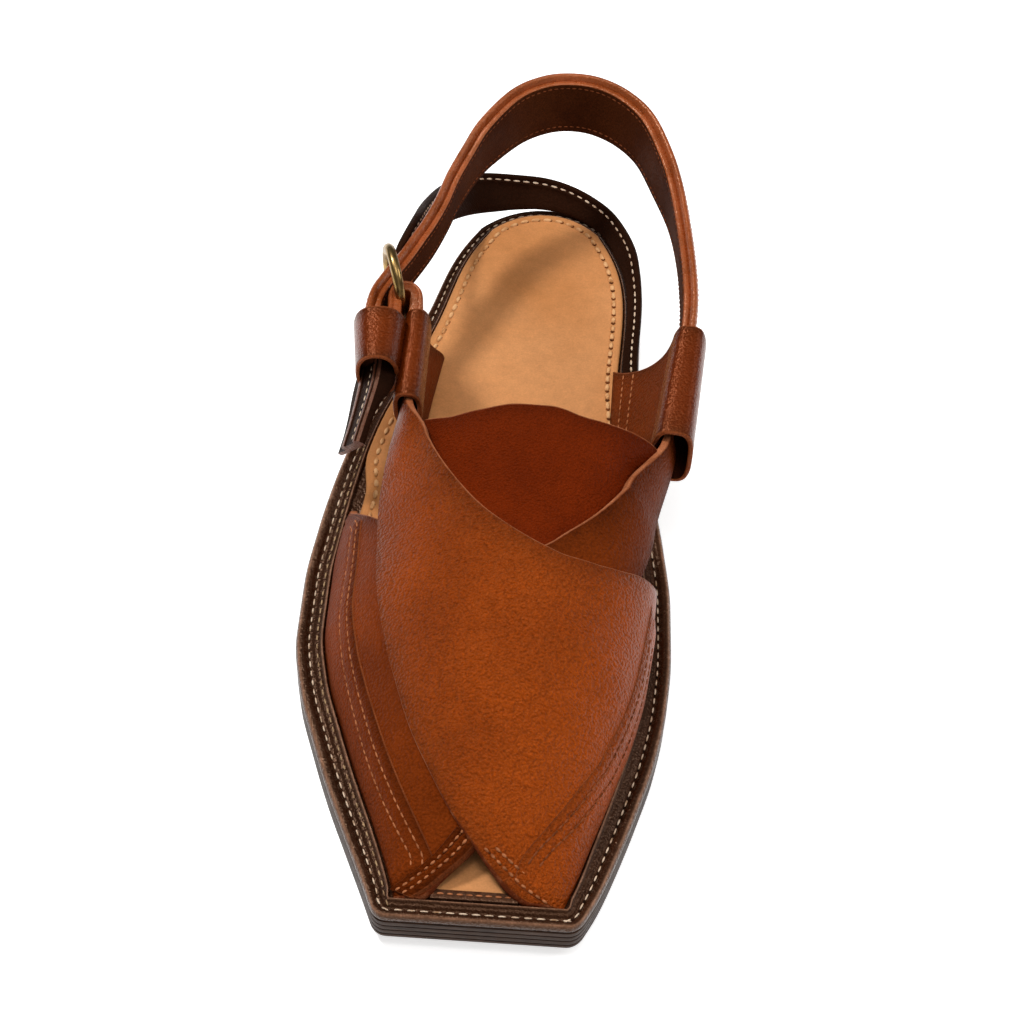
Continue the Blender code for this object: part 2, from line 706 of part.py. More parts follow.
def add_quarter(side, materials):
    wing = WINGS[side]
    sleeve = add_tube("quarter_" + side, wing["front"], wing["rear"], wing["thick"], wing["wide"], wing["wall"],
                      materials["leather"], upright=wing["upright"], square=wing["square"])
    rows, cols = 7, 8
    grids = []
    for shift in (-WING_THICK / 2, WING_THICK / 2):
        grid = []
        for r in range(rows):
            row = []
            for c in range(cols):
                top = mix(*wing["sleeve"], c / (cols - 1))
                x, y = mix(*wing["base"], c / (cols - 1))
                base = [x, y, sole_height(y) + INSOLE_TOP + GAP]
                t = r / (rows - 1)
                point = mix(top, base, t)
                point[0] += shift + wing["bulge"] * math.sin(math.pi * t)
                point[1] -= wing["sag"] * math.sin(math.pi * t) * c / (cols - 1)
                row.append(point)
            grid.append(row)
        grids.append(grid)
    flap = add_sheet("wing_" + side, grids[0], grids[1], materials["leather"], helper=True)
    unite(sleeve, flap)


HEEL_STRAP = table(
    "x y z lean wide",
    [
        (-42.5, 24.5, 50.6, 0, 12.5), (-42.6, 31.0, 52.5, 0, 12.5), (-43.2, 38.0, 54.4, 0, 12.5),
        (-42.4, 46.0, 55.4, 0, 12.8), (-39.8, 54.0, 55.0, 1, 13.0), (-34.9, 66.0, 54.5, 3, 13.0),
        (-31.2, 75.0, 55.1, 5, 13.0), (-28.5, 82.2, 55.7, 3, 13.3), (-25.7, 91.0, 56.8, 0, 14.4),
        (-22.8, 101.5, 58.5, -1, 16.0), (-18.3, 112.5, 61.0, -2, 17.6), (-13.0, 121.2, 64.0, 0, 19.6),
        (-4.2, 131.0, 67.2, 3, 20.8), (4.5, 135.8, 69.0, 4, 21.0), (13.0, 137.3, 69.7, 4, 21.0),
        (22.0, 136.6, 69.2, 4, 21.0), (31.0, 132.6, 67.6, 3, 21.0), (38.6, 125.0, 65.4, 2, 21.0),
        (44.6, 112.0, 62.2, 1, 21.0), (49.4, 97.0, 59.2, -4, 21.0), (52.2, 80.0, 56.8, -5, 21.0),
        (53.6, 63.0, 55.2, -3, 21.0), (53.8, 50.0, 54.0, 0, 19.4), (53.3, 39.0, 52.0, 0, 16.6),
        (52.8, 30.0, 49.4, 0, 15.0),
    ],
)


def heel_strap_shape(wide):
    """The outer layer with a rolled top, and the inner layer, 2 mm lower, with a groove between them."""
    half = wide / 2
    return [
        (-2.1, -half + 0.8), (-1.5, -half + 0.3), (1.8, -half), (2.4, -half + 0.6), (2.5, half - 1.4),
        (1.9, half - 0.3), (1.1, half), (0.3, half - 0.6), (0.0, half - 2.6), (-0.4, half - 2.0),
        (-1.5, half - 2.0), (-2.1, half - 2.6),
    ]


# The heel band by its two edges: it lies flat on the medial rim, stands up around the back of the heel and
# climbs outside the heel strap to the ring.
HEEL_BAND = table(
    "low_x low_y low_z top_x top_y top_z",
    [
        (35.6, 52.0, 22.5, 40.8, 52.0, 22.5), (35.6, 66.0, 22.6, 40.6, 66.0, 22.6), (36.4, 82.0, 22.8, 41.3, 82.0, 22.8),
        (36.4, 94.0, 22.9, 41.4, 94.2, 23.2), (35.2, 104.0, 23.1, 40.4, 105.4, 25.4),
        (32.8, 112.0, 23.2, 38.4, 114.4, 28.0), (29.4, 121.5, 23.3, 34.2, 124.4, 29.2),
        (24.0, 129.6, 23.4, 28.2, 133.4, 30.0), (15.6, 135.6, 23.4, 17.8, 141.6, 30.8),
        (6.0, 138.0, 23.4, 6.8, 145.8, 31.2), (-3.0, 137.2, 23.4, -5.6, 146.0, 31.8),
        (-9.4, 133.6, 25.0, -14.6, 143.4, 33.6), (-14.6, 128.2, 28.2, -21.0, 137.6, 36.8),
        (-19.4, 120.0, 33.2, -26.2, 128.2, 41.2), (-23.6, 110.5, 38.4, -30.0, 117.4, 45.8),
        (-28.4, 97.5, 44.4, -32.8, 102.6, 52.0), (-32.2, 84.0, 49.6, -34.2, 86.4, 58.8),
        (-36.3, 71.0, 52.6, -37.4, 71.4, 61.2),
    ],
)
BAND_THICK = 1.6


STRAP_TIP = table(
    "x y z lean",
    [(-41.2, 21.4, 49.9, 14), (-41.9, 15.0, 48.0, 24), (-43.4, 6.0, 44.8, 30), (-45.2, -2.2, 41.2, 34)],
)

RING_LOOP = table(
    "x y z lean",
    [
        (-38.0, 25.0, 51.6, 0), (-37.7, 33.0, 53.6, 0), (-37.6, 41.0, 54.6, 0), (-37.9, 45.5, 54.8, 0),
        (-37.0, 49.6, 55.0, 0), (-34.6, 50.9, 55.0, 0), (-32.2, 50.6, 54.6, 0), (-30.4, 49.0, 54.0, 0),
        (-29.5, 46.0, 53.0, 0), (-29.4, 41.0, 51.0, 0), (-29.6, 34.0, 48.6, 0),
    ],
)

RING = {"centre": (-38.0, 54.9, 56.4), "along": (-0.29, 0.90, 0.32), "up": (0.03, -0.33, 0.94),
        "length": 24.6, "width": 28.0, "wire": 3.2}


def box_shape(thick, wide, round_by=0.5):
    a, b, r = thick / 2, wide / 2, round_by
    return [(-a, -b + r), (-a + r, -b), (a - r, -b), (a, -b + r), (a, b - r), (a - r, b), (-a + r, b), (-a, b - r)]


def add_heel_band(materials):
    keys = ("low_x", "low_y", "low_z", "top_x", "top_y", "top_z")
    band = smoothed(HEEL_BAND, keys, 60)
    count, rings = 38, []
    edges = [[along(band, "share", k, i / (count - 1)) for k in keys] for i in range(count)]
    middles = [(Vector(e[:3]) + Vector(e[3:])) / 2 for e in edges]
    for i, edge in enumerate(edges):
        low, top = Vector(edge[:3]), Vector(edge[3:])
        run = middles[min(i + 1, count - 1)] - middles[max(i - 1, 0)]
        width = (top - low).normalized()
        outward = width.cross(run).normalized()
        rings.append([middles[i] + outward * a + width * b for a, b in box_shape(BAND_THICK, (top - low).length)])
    add_loft("heel_band", rings, materials["welt"])


def add_straps(materials):
    keys = ("x", "y", "z", "lean")
    strap = smoothed(HEEL_STRAP, keys + ("wide",), 70)
    add_ribbon("heel_strap", strap, 46, lambda s: heel_strap_shape(along(strap, "share", "wide", s)),
               materials["leather"])
    add_ribbon("strap_tip", smoothed(STRAP_TIP, keys, 20), 9, lambda s: box_shape(2.6, 11.5), materials["welt"])
    add_ribbon("ring_loop", smoothed(RING_LOOP, keys, 60), 28, lambda s: box_shape(1.8, 12.0, 0.4),
               materials["leather"])


def add_keeper(materials):
    add_tube("keeper", (-40.5, 20.0, 50.0), (-41.2, 36.5, 55.0), (12.2, 15.6), (22.6, 23.6), 1.3,
             materials["leather"], steps=3, square=2.4)


def add_ring(materials):
    centre, run = Vector(RING["centre"]), Vector(RING["along"]).normalized()
    up = Vector(RING["up"])
    up = (up - run * up.dot(run)).normalized()
    wire = RING["wire"] / 2
    path = oval(RING["length"] - 2 * wire, RING["width"] - 2 * wire, 26, square=2.1)
    places = [centre + run * a + up * b for a, b in path]
    normal = run.cross(up)
    rings = []
    for i, place in enumerate(places):
        direction = (places[(i + 1) % len(places)] - places[i - 1]).normalized()
        side = direction.cross(normal)
        rings.append([place + (side * math.cos(a) + normal * math.sin(a)) * wire
                      for a in [2 * math.pi * k / 8 for k in range(8)]])
    points = [p for ring in rings for p in ring]
    faces = skin(rings)
    last = len(points) - 8
    for i in range(8):
        j = (i + 1) % 8
        faces.append((last + i, last + j, j, i))
    add_object("ring", points, faces, materials["brass"])


def main():
    for obj in list(bpy.data.objects):
        bpy.data.objects.remove(obj)
    materials = {
        "sole": material("sole leather", "#2e1e18", 0.5),
        "welt": material("dark brown leather", "#40251b", 0.45),
        "insole": material("tan footbed leather", "#c08a55", 0.6),
        "leather": material("cognac leather", "#8e4120", 0.4),
        "tongue": material("red-brown leather", "#6e2a17", 0.45),
        "brass": material("antique brass", "#a08650", 0.3, metallic=1.0),
    }
    add_sole(materials)
    add_insole(materials)
    add_upper(materials)
    add_tongue(materials)
    add_toe_strip(materials)
    add_quarter("lateral", materials)
    add_quarter("medial", materials)
    add_heel_band(materials)
    add_straps(materials)
    add_keeper(materials)
    add_ring(materials)


main()
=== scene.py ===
"""The looks of a right peshawari chappal, put together in the order a maker does it.

Frame: toe to -Y, heel to +Y, +X to the wearer's inner (medial) side, -X to the outer (lateral) side, Z up.
Tables and sizes are in millimetres in the maker's own drawing, whose middle is moved to the frame's origin.
"""

import math

import bmesh
import bpy
import numpy as np
from mathutils import Matrix, Vector


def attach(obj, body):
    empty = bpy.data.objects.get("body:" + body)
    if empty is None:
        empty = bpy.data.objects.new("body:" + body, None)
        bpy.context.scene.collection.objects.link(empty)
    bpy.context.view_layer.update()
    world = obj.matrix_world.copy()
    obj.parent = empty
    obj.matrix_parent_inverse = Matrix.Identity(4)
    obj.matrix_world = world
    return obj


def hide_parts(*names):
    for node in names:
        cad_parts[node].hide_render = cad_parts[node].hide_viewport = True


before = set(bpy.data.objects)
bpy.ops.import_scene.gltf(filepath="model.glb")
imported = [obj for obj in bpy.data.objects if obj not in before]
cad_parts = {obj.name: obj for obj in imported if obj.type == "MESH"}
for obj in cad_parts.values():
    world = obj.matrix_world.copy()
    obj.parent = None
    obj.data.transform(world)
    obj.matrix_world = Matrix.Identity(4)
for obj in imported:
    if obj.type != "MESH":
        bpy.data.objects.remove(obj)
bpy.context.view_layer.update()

# ================================================================ outsole
# The bottom of the shoe: layers of thick vegetable-tanned leather, cemented, pressed and cut together, then
# burnished and waxed dark along the edge, so that the layers show as fine lines.
MM = 0.001
MIDDLE = np.array((0.85, -0.15, 0.0))
TOE_EDGE_Y, TOE_CORNER, CORNER_END_Y = -146.8, 3.2, -142.8
HEEL_CENTRE_X, HEEL_START_Y, HEEL_DEPTH, HEEL_RIM = 8.0, 95.0, 46.5, 4.8
TOE_SPRING, TOE_SPRING_START_Y = 3.6, -90.0
HEEL_RAISE, RAISE_START_Y, RAISE_END_Y = 10.0, -40.0, 45.0
# The outline is faired where its sides run into the heel's round.
FAIR_START_Y, FAIR_END_Y, FAIR_TIMES = 62, 128, 60
FULL_RIM = 8.2
OUTSOLE_TOP, SOLE_LAYERS = 7.6, 4


def table(columns, rows):
    """A short table as a dictionary of columns."""
    return dict(zip(columns.split(), np.array(rows, float).T))


def along(rows, key, column, at):
    """A column of a table read at any places, on a smooth curve that never overshoots its rows."""
    xs, ys = rows[key], rows[column]
    if xs[0] > xs[-1]:
        xs, ys = xs[::-1], ys[::-1]
    width = np.diff(xs)
    slope = np.diff(ys) / width
    before, after = slope[:-1], slope[1:]
    tangent = np.concatenate([slope[:1], np.zeros(len(xs) - 2), slope[-1:]])
    agree = before * after > 0
    tangent[1:-1][agree] = (2 * before * after)[agree] / (before + after)[agree]
    at = np.clip(at, xs[0], xs[-1])
    i = np.clip(np.searchsorted(xs, at, side="right") - 1, 0, len(xs) - 2)
    h, t = width[i], (at - xs[i]) / width[i]
    return (
        (2 * t**3 - 3 * t**2 + 1) * ys[i]
        + (t**3 - 2 * t**2 + t) * h * tangent[i]
        + (3 * t**2 - 2 * t**3) * ys[i + 1]
        + (t**3 - t**2) * h * tangent[i + 1]
    )


def ease(t):
    t = np.clip(t, 0.0, 1.0)
    return t * t * (3 - 2 * t)


def unit(v):
    return v / np.maximum(np.linalg.norm(v, axis=-1, keepdims=True), 1e-9)


OUTLINE = table(
    "y lateral medial rim_lateral rim_medial",
    [
        (-146.8, -25.0, 28.8, 5.4, 5.4), (-135.0, -29.6, 34.2, 6.8, 6.6),
        (-120.0, -35.8, 39.4, 7.7, 7.6), (-105.0, -42.0, 44.0, 8.1, 8.0),
        (-88.0, -48.2, 48.6, 8.2, 8.2), (-70.0, -54.0, 51.6, 8.2, 8.2),
        (-50.0, -57.4, 52.9, 8.2, 8.2), (-30.0, -57.6, 52.6, 8.2, 8.2),
        (-10.0, -55.6, 50.2, 8.0, 8.0), (10.0, -52.0, 46.6, 7.2, 7.6),
        (30.0, -46.8, 43.4, 6.2, 7.4), (50.0, -40.2, 41.4, 5.8, 7.0),
        (70.0, -33.4, 41.0, 5.6, 5.8), (82.0, -29.6, 41.4, 4.9, 5.4),
        (95.0, -26.6, 41.5, 4.5, 5.3),
    ],
)


def sole_height(y):
    """How far the sole's underside stands off the floor: toe spring, arch and the rise onto the heel."""
    spring = np.maximum(0.0, (TOE_SPRING_START_Y - y) / (TOE_SPRING_START_Y - TOE_EDGE_Y)) ** 2
    return TOE_SPRING * spring + HEEL_RAISE * ease((y - RAISE_START_Y) / (RAISE_END_Y - RAISE_START_Y))


def half_outline(side):
    """One side of the outline from the toe's edge to the back of the heel, as columns (x, y, rim width)."""
    sign = -1 if side == "lateral" else 1
    rim = "rim_" + side
    corner, corner_end = OUTLINE[side][0], along(OUTLINE, "y", side, CORNER_END_Y)
    t = np.linspace(0, 1, 9)
    turn_x = (1 - t) ** 2 * (corner - sign * TOE_CORNER) + 2 * t * (1 - t) * corner + t**2 * corner_end
    turn_y = (1 - t**2) * TOE_EDGE_Y + t**2 * CORNER_END_Y
    y = np.arange(-140.5, 94, 2.2)
    angle = np.radians(np.arange(0, 88.6, 3.2))
    heel_x = HEEL_CENTRE_X + sign * abs(OUTLINE[side][-1] - HEEL_CENTRE_X) * np.cos(angle)
    heel_rim = OUTLINE[rim][-1]
    heel_rim = heel_rim + (HEEL_RIM - heel_rim) * ease(angle / (math.pi / 2))
    half = np.concatenate([
        np.stack([turn_x, turn_y, np.full(len(t), OUTLINE[rim][0])], 1),
        np.stack([along(OUTLINE, "y", side, y), y, along(OUTLINE, "y", rim, y)], 1),
        np.stack([heel_x, HEEL_START_Y + HEEL_DEPTH * np.sin(angle), heel_rim], 1),
    ])
    fair = np.flatnonzero((half[:, 1] > FAIR_START_Y) & (half[:, 1] < FAIR_END_Y))
    for _ in range(FAIR_TIMES):
        half[fair] = (half[fair - 1] + 2 * half[fair] + half[fair + 1]) / 4
    return half


def outline_loop(start_y=TOE_EDGE_Y - 1):
    """The outline behind start_y, the medial side first: places, outward normals and rim widths."""
    halves = [half_outline(side) for side in ("medial", "lateral")]
    halves = [half[half[:, 1] > start_y] for half in halves]
    loop = np.concatenate([halves[0], halves[1][::-1]])
    run = np.roll(loop, -1, 0) - np.roll(loop, 1, 0)
    normal = unit(np.stack([run[:, 1], -run[:, 0]], 1))
    return loop[:, :2], normal, loop[:, 2]


def piece(name, points, faces, materials, kinds=None, marks=None, sharp=40):
    """A finished mesh from places in millimetres. `kinds` picks each face's material, and `marks` are named
    values for its points. Edges bent by more than `sharp` degrees stay crisp."""
    mesh = bpy.data.meshes.new(name)
    places = (np.asarray(points, float) - MIDDLE) * MM
    mesh.from_pydata(places.tolist(), [], [list(map(int, f)) for f in faces])
    for made_of in materials:
        mesh.materials.append(made_of)
    if kinds is not None:
        mesh.polygons.foreach_set("material_index", [int(k) for k in kinds])
    for label, values in (marks or {}).items():
        values = np.asarray(values, np.float32).ravel()
        mesh.attributes.new(label, "FLOAT", "POINT").data.foreach_set("value", values)
    work = bmesh.new()
    work.from_mesh(mesh)
    bmesh.ops.recalc_face_normals(work, faces=work.faces[:])
    if work.calc_volume(signed=True) < 0:
        bmesh.ops.reverse_faces(work, faces=work.faces[:])
    work.to_mesh(mesh)
    work.free()
    mesh.shade_smooth()
    mesh.set_sharp_from_angle(angle=math.radians(sharp))
    obj = bpy.data.objects.new(name, mesh)
    bpy.context.scene.collection.objects.link(obj)
    return obj


def strips(rows, cols, around=True, first=0):
    """Quads that join rows of points one to the next."""
    ids = first + np.arange(rows * cols).reshape(rows, cols)
    if around:
        ids = np.concatenate([ids, ids[:, :1]], 1)
    return np.stack([ids[:-1, :-1], ids[:-1, 1:], ids[1:, 1:], ids[1:, :-1]], -1).reshape(-1, 4).tolist()


def stacked(name, loops, materials, marks):
    """A plate from loops of places, bottom to top, each the medial side first. Quads across it join its two
    sides, below and above."""
    count = len(loops[0])
    faces = strips(len(loops), count)
    top = count * (len(loops) - 1)
    for i in range(count // 2 - 1):
        a, b, c, d = i, i + 1, count - 2 - i, count - 1 - i
        faces += [(d, c, b, a), (top + a, top + b, top + c, top + d)]
    return piece(name, np.concatenate(loops), faces, materials, marks=marks)


def plate(name, profile, materials, start_y=TOE_EDGE_Y - 1, follow_rim=False, level=False):
    """A plate with the sole's outline. `profile` rows are (inset, height, painted highlight or nothing), from
    the bottom up. Heights are over the sole's underside or, for a level plate, over the floor."""
    place, normal, rim = outline_loop(start_y)
    loops, levels, wears_and_painted_light = [], [], []
    for inset, height, *wear_and_painted_light in profile:
        p = place - normal * (inset * rim[:, None] / FULL_RIM if follow_rim else inset)
        under = 0.0 * rim if level else sole_height(p[:, 1])
        loops.append(np.column_stack([p, under + height]))
        levels.append(np.full(len(p), height))
        wears_and_painted_light.append(np.full(len(p), wear_and_painted_light[0] if wear_and_painted_light else 0.0))
    return stacked(name, loops, materials, {"level": np.concatenate(levels), "wear_and_painted_light": np.concatenate(wears_and_painted_light)})


def linear(hex_colour):
    """An sRGB hex colour as linear light."""
    channels = np.array([int(hex_colour[i : i + 2], 16) / 255 for i in (1, 3, 5)])
    light = np.where(channels <= 0.04045, channels / 12.92, ((channels + 0.055) / 1.055) ** 2.4)
    return (*light.tolist(), 1.0)


def feed(tree, node, inputs):
    """Links or sets a node's inputs."""
    for socket, value in inputs.items():
        if isinstance(value, bpy.types.NodeSocket):
            tree.links.new(value, node.inputs[socket])
        else:
            node.inputs[socket].default_value = value


def add(tree, kind, inputs=None, **settings):
    """Adds a node with its settings and links."""
    made = tree.nodes.new(kind)
    for key, value in settings.items():
        setattr(made, key, value)
    feed(tree, made, inputs or {})
    return made


def new_material(name):
    made = bpy.data.materials.new(name)
    made.use_nodes = True
    return made, made.node_tree, made.node_tree.nodes["Principled BSDF"]


# Stacked sole leather, cut and burnished with wax: near-black brown with paler dry streaks along the fibres.
FIBRE_PER_M = 90.0  # streaks about 11 mm long
PATTERN_PER_MM = 0.012  # metres of pattern for each millimetre up the edge: a streak is under 1 mm high
stacked_leather, tree, shader = new_material("stacked sole leather, burnished and waxed")
place = add(tree, "ShaderNodeTexCoord").outputs["Object"]
level = add(tree, "ShaderNodeAttribute", attribute_name="level").outputs["Fac"]
xyz = add(tree, "ShaderNodeSeparateXYZ", {0: place}).outputs
flattened = add(tree, "ShaderNodeMath", {0: level, 1: PATTERN_PER_MM}, operation="MULTIPLY").outputs[0]
fibre_place = add(tree, "ShaderNodeCombineXYZ", {"X": xyz["X"], "Y": xyz["Y"], "Z": flattened}).outputs[0]
fibres = add(tree, "ShaderNodeTexNoise",
             {"Vector": fibre_place, "Scale": FIBRE_PER_M, "Detail": 6.0, "Roughness": 0.7}).outputs["Fac"]
scuffs = add(tree, "ShaderNodeTexNoise", {"Vector": place, "Scale": 350.0, "Detail": 4.0}).outputs["Fac"]
ramp = add(tree, "ShaderNodeValToRGB", {"Fac": fibres})
for stop, at, colour in zip(ramp.color_ramp.elements, (0.30, 0.72), ("#1e0f07", "#462c1a")):
    stop.position, stop.color = at, linear(colour)
rough = add(tree, "ShaderNodeMapRange", {"Value": scuffs, "To Min": 0.34, "To Max": 0.58})
bump = add(tree, "ShaderNodeBump", {"Height": fibres, "Strength": 0.35, "Distance": 0.0004})
feed(tree, shader, {"Base Color": ramp.outputs["Color"], "Roughness": rough.outputs["Result"],
                    "Normal": bump.outputs["Normal"], "Specular IOR Level": 0.18})

layer = OUTSOLE_TOP / SOLE_LAYERS
sole_profile = [(1.2, 0.0), (0.45, 0.25), (0.2, 0.7)]
for i in range(1, SOLE_LAYERS):
    joint = i * layer
    sole_profile += [(0.12, joint - 0.5), (0.16, joint - 0.22), (0.55, joint - 0.04)]
    sole_profile += [(0.55, joint + 0.04), (0.16, joint + 0.22), (0.12, joint + 0.5)]
sole_profile += [(0.15, OUTSOLE_TOP - 0.3), (0.4, OUTSOLE_TOP)]
outsole = plate("outsole_layers", sole_profile, [stacked_leather])
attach(outsole, "root")
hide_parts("outsole")

# ================================================================ heel lift
# A low heel of three more layers of the same leather under the back of the sole, cut with it and burnished.
GAP = 0.3
HEEL_LIFT_START_Y = 65.0
heel_top = HEEL_RAISE - GAP
heel_profile = [(2.0, 0.0), (1.1, 0.3), (0.8, 1.0)]
for joint in (heel_top / 3, 2 * heel_top / 3):
    heel_profile += [(0.7, joint - 0.5), (0.75, joint - 0.2), (1.2, joint)]
    heel_profile += [(0.75, joint + 0.2), (0.7, joint + 0.5)]
heel_profile += [(0.7, heel_top - 0.3), (0.9, heel_top)]
heel_lift = plate("heel_stack", heel_profile, [stacked_leather], start_y=HEEL_LIFT_START_Y, level=True)
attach(heel_lift, "root")
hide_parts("heel_lift")

# ================================================================ welt
# The rim round the whole sole: a strip of dark waxed leather with a rounded lip, a sunk channel for the sole
# stitching and a raised bead against the upper. It is laid on the outsole and sewn through it.
WELT_BASE = OUTSOLE_TOP + GAP
MOTTLE_MM = 3.5  # the size of the uneven patches in the wax


def leather(name, hexes, grain_mm, broad_mm, shine, gloss, gloss_hex="#ffb084", relief=0.3, wear_and_light_weight=0.75,
            speck_and_grain_light=0.2):
    """Finished leather: (middle, darker patches, edge) colours, a pebbled grain and uneven wax. The edge
    colour goes where the mark wear_and_painted_light asks: rubbed or burnished edges, and also painted
    highlight and painted shade on some pieces. `shine` is the range of its roughness, and the wax is dyed
    too, so its gloss is tinted."""
    made, tree, shader = new_material(name)
    middle, patch, edge = map(linear, hexes)
    place = add(tree, "ShaderNodeTexCoord").outputs["Object"]
    wear_and_light_mask = add(tree, "ShaderNodeAttribute", attribute_name="wear_and_painted_light").outputs["Fac"]
    broad = add(tree, "ShaderNodeTexNoise",
                {"Vector": place, "Scale": 1000 / broad_mm, "Detail": 3.0}).outputs["Fac"]
    mottle = add(tree, "ShaderNodeTexNoise", {"Vector": place, "Scale": 1000 / MOTTLE_MM, "Detail": 5.0,
                                              "Roughness": 0.65}).outputs["Fac"]
    pores = add(tree, "ShaderNodeTexNoise",
                {"Vector": place, "Scale": 1000 / (0.7 * grain_mm), "Detail": 2.0}).outputs["Fac"]
    pebble = add(tree, "ShaderNodeTexVoronoi",
                 {"Vector": place, "Scale": 1000 / grain_mm}, feature="SMOOTH_F1").outputs["Distance"]
    patchy = add(tree, "ShaderNodeMapRange", {"Value": broad, "From Min": 0.35, "From Max": 0.65})
    ground = add(tree, "ShaderNodeMix", {"Factor": patchy.outputs[0], "A": patch, "B": middle},
                 data_type="RGBA")
    # The third colour is mixed in by the mark: real rubbing on some pieces, a painted highlight on the welt's
    # crests, and painted shade at the straps' edges and in the footbed's stitch groove.
    worn = add(tree, "ShaderNodeMath", {0: wear_and_light_mask, 1: wear_and_light_weight}, operation="MULTIPLY")
    worn = add(tree, "ShaderNodeMath", {0: worn.outputs[0], 1: mottle}, operation="MULTIPLY")
    worn = add(tree, "ShaderNodeMath", {0: worn.outputs[0], 1: 1.9}, operation="MULTIPLY", use_clamp=True)
    edged = add(tree, "ShaderNodeMix", {"Factor": worn.outputs[0], "A": ground.outputs["Result"], "B": edge},
                data_type="RGBA")
    # Flecks and grain: random light and dark flecks, partly tone and partly painted glints; the grain's tops
    # are lightened as a painted highlight and its hollows darkened as painted shade.
    speck = add(tree, "ShaderNodeMapRange", {"Value": pores, "From Min": 0.3, "From Max": 0.7,
                                             "To Min": 1 - 1.2 * speck_and_grain_light, "To Max": 1 + speck_and_grain_light})
    cloud = add(tree, "ShaderNodeMapRange", {"Value": mottle, "From Min": 0.3, "From Max": 0.7,
                                             "To Min": 0.92, "To Max": 1.08})
    grain_highlight_and_shade = add(tree, "ShaderNodeMapRange", {"Value": pebble, "From Min": 0.15, "From Max": 0.6,
                                             "To Min": 1 + 0.6 * speck_and_grain_light, "To Max": 1 - 0.6 * speck_and_grain_light})
    tone = add(tree, "ShaderNodeMath", {0: speck.outputs[0], 1: cloud.outputs[0]}, operation="MULTIPLY")
    tone = add(tree, "ShaderNodeMath", {0: tone.outputs[0], 1: grain_highlight_and_shade.outputs[0]}, operation="MULTIPLY")
    dyed = add(tree, "ShaderNodeVectorMath", {0: edged.outputs["Result"], "Scale": tone.outputs[0]},
               operation="SCALE")
    wax = add(tree, "ShaderNodeMapRange", {"Value": mottle, "From Min": 0.25, "From Max": 0.75,
                                           "To Min": shine[0], "To Max": shine[1]})
    grain = add(tree, "ShaderNodeMath", {0: pores, 1: pebble}, operation="SUBTRACT")
    bump = add(tree, "ShaderNodeBump", {"Height": grain.outputs[0], "Strength": relief, "Distance": 0.0007})
    feed(tree, shader, {"Base Color": dyed.outputs[0], "Roughness": wax.outputs["Result"],
                        "Normal": bump.outputs["Normal"], "Specular IOR Level": gloss,
                        "Specular Tint": linear(gloss_hex)})
    return made


# Chrome-retanned rim leather, pigmented dark brown, waxed and boned with a hot iron: smooth and half glossy.
# Its pale third colour is a painted highlight along the welt's crests.
rim_leather = leather(
    "rim leather, dark brown, hot-waxed", ("#371c0e", "#2a1509", "#9c7056"), grain_mm=0.8, broad_mm=30,
    shine=(0.20, 0.32), wear_and_light_weight=0.65, gloss=0.5, gloss_hex="#e8b490", speck_and_grain_light=0.12,
)
# The same leather inside the shoe and on the strap end, never rubbed: nearly black, its extra darkness
# painted shade, as these parts lie out of the light.
shaded_rim_leather = leather(
    "rim leather, dark brown, darkened as painted shade", ("#2a150b", "#1e0e07", "#1c0e07"), grain_mm=0.8, broad_mm=30,
    shine=(0.5, 0.64), gloss=0.08, gloss_hex="#c08a68", speck_and_grain_light=0.12,
)

# Rows (moved in, height, painted highlight): the lip, the channel for the stitches, and the bead. The third
# column paints a pale highlight line along the crests of the lip and the bead.
WELT_PROFILE = [
    (0.9, WELT_BASE), (0.35, WELT_BASE + 0.15), (0.1, WELT_BASE + 0.6), (0.0, 9.0), (0.1, 9.6),
    (0.4, 10.2, 0.35), (0.7, 10.55, 1.0), (0.95, 10.72, 1.0), (1.2, 10.82, 0.35), (1.6, 10.9), (2.4, 10.9),
    (2.8, 10.75),
    (3.1, 10.45), (3.4, 10.1), (3.8, 10.0), (4.6, 10.05), (5.1, 10.3), (5.5, 10.75),
    (6.0, 10.95), (6.6, 11.05), (7.0, 11.3), (7.35, 11.75, 0.3), (7.55, 11.95, 1.0), (7.8, 12.05, 1.0),
    (8.0, 12.0), (8.25, 11.7), (FULL_RIM + 0.3, 10.6),
]
welt = plate("welt", WELT_PROFILE, [rim_leather], follow_rim=True)
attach(welt, "root")
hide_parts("welt")

# ================================================================ welt stitching
# Two rows of waxed linen lockstitch in the welt's channel, which hold the welt to the layers of the sole. The
# outer row is cream; the inner one is browner and shows on the outer side.


def thread(name, hex_colour, shade):
    """Twisted thread: matt, with a fine diagonal twist and dirt in it."""
    made, tree, shader = new_material(name)
    place = add(tree, "ShaderNodeTexCoord").outputs["Object"]
    dirt = add(tree, "ShaderNodeTexNoise", {"Vector": place, "Scale": 420.0, "Detail": 3.0}).outputs["Fac"]
    twist = add(tree, "ShaderNodeTexWave", {"Vector": place, "Scale": 1400.0, "Distortion": 2.0},
                bands_direction="DIAGONAL")
    clean = add(tree, "ShaderNodeMapRange", {"Value": dirt, "From Min": 0.3, "From Max": 0.55})
    colour = add(tree, "ShaderNodeMix",
                 {"Factor": clean.outputs["Result"], "A": linear(shade), "B": linear(hex_colour)},
                 data_type="RGBA")
    bump = add(tree, "ShaderNodeBump", {"Height": twist.outputs["Fac"], "Strength": 0.4, "Distance": 0.0001})
    feed(tree, shader, {"Base Color": colour.outputs["Result"], "Normal": bump.outputs["Normal"],
                        "Roughness": 0.75, "Specular IOR Level": 0.08})
    return made


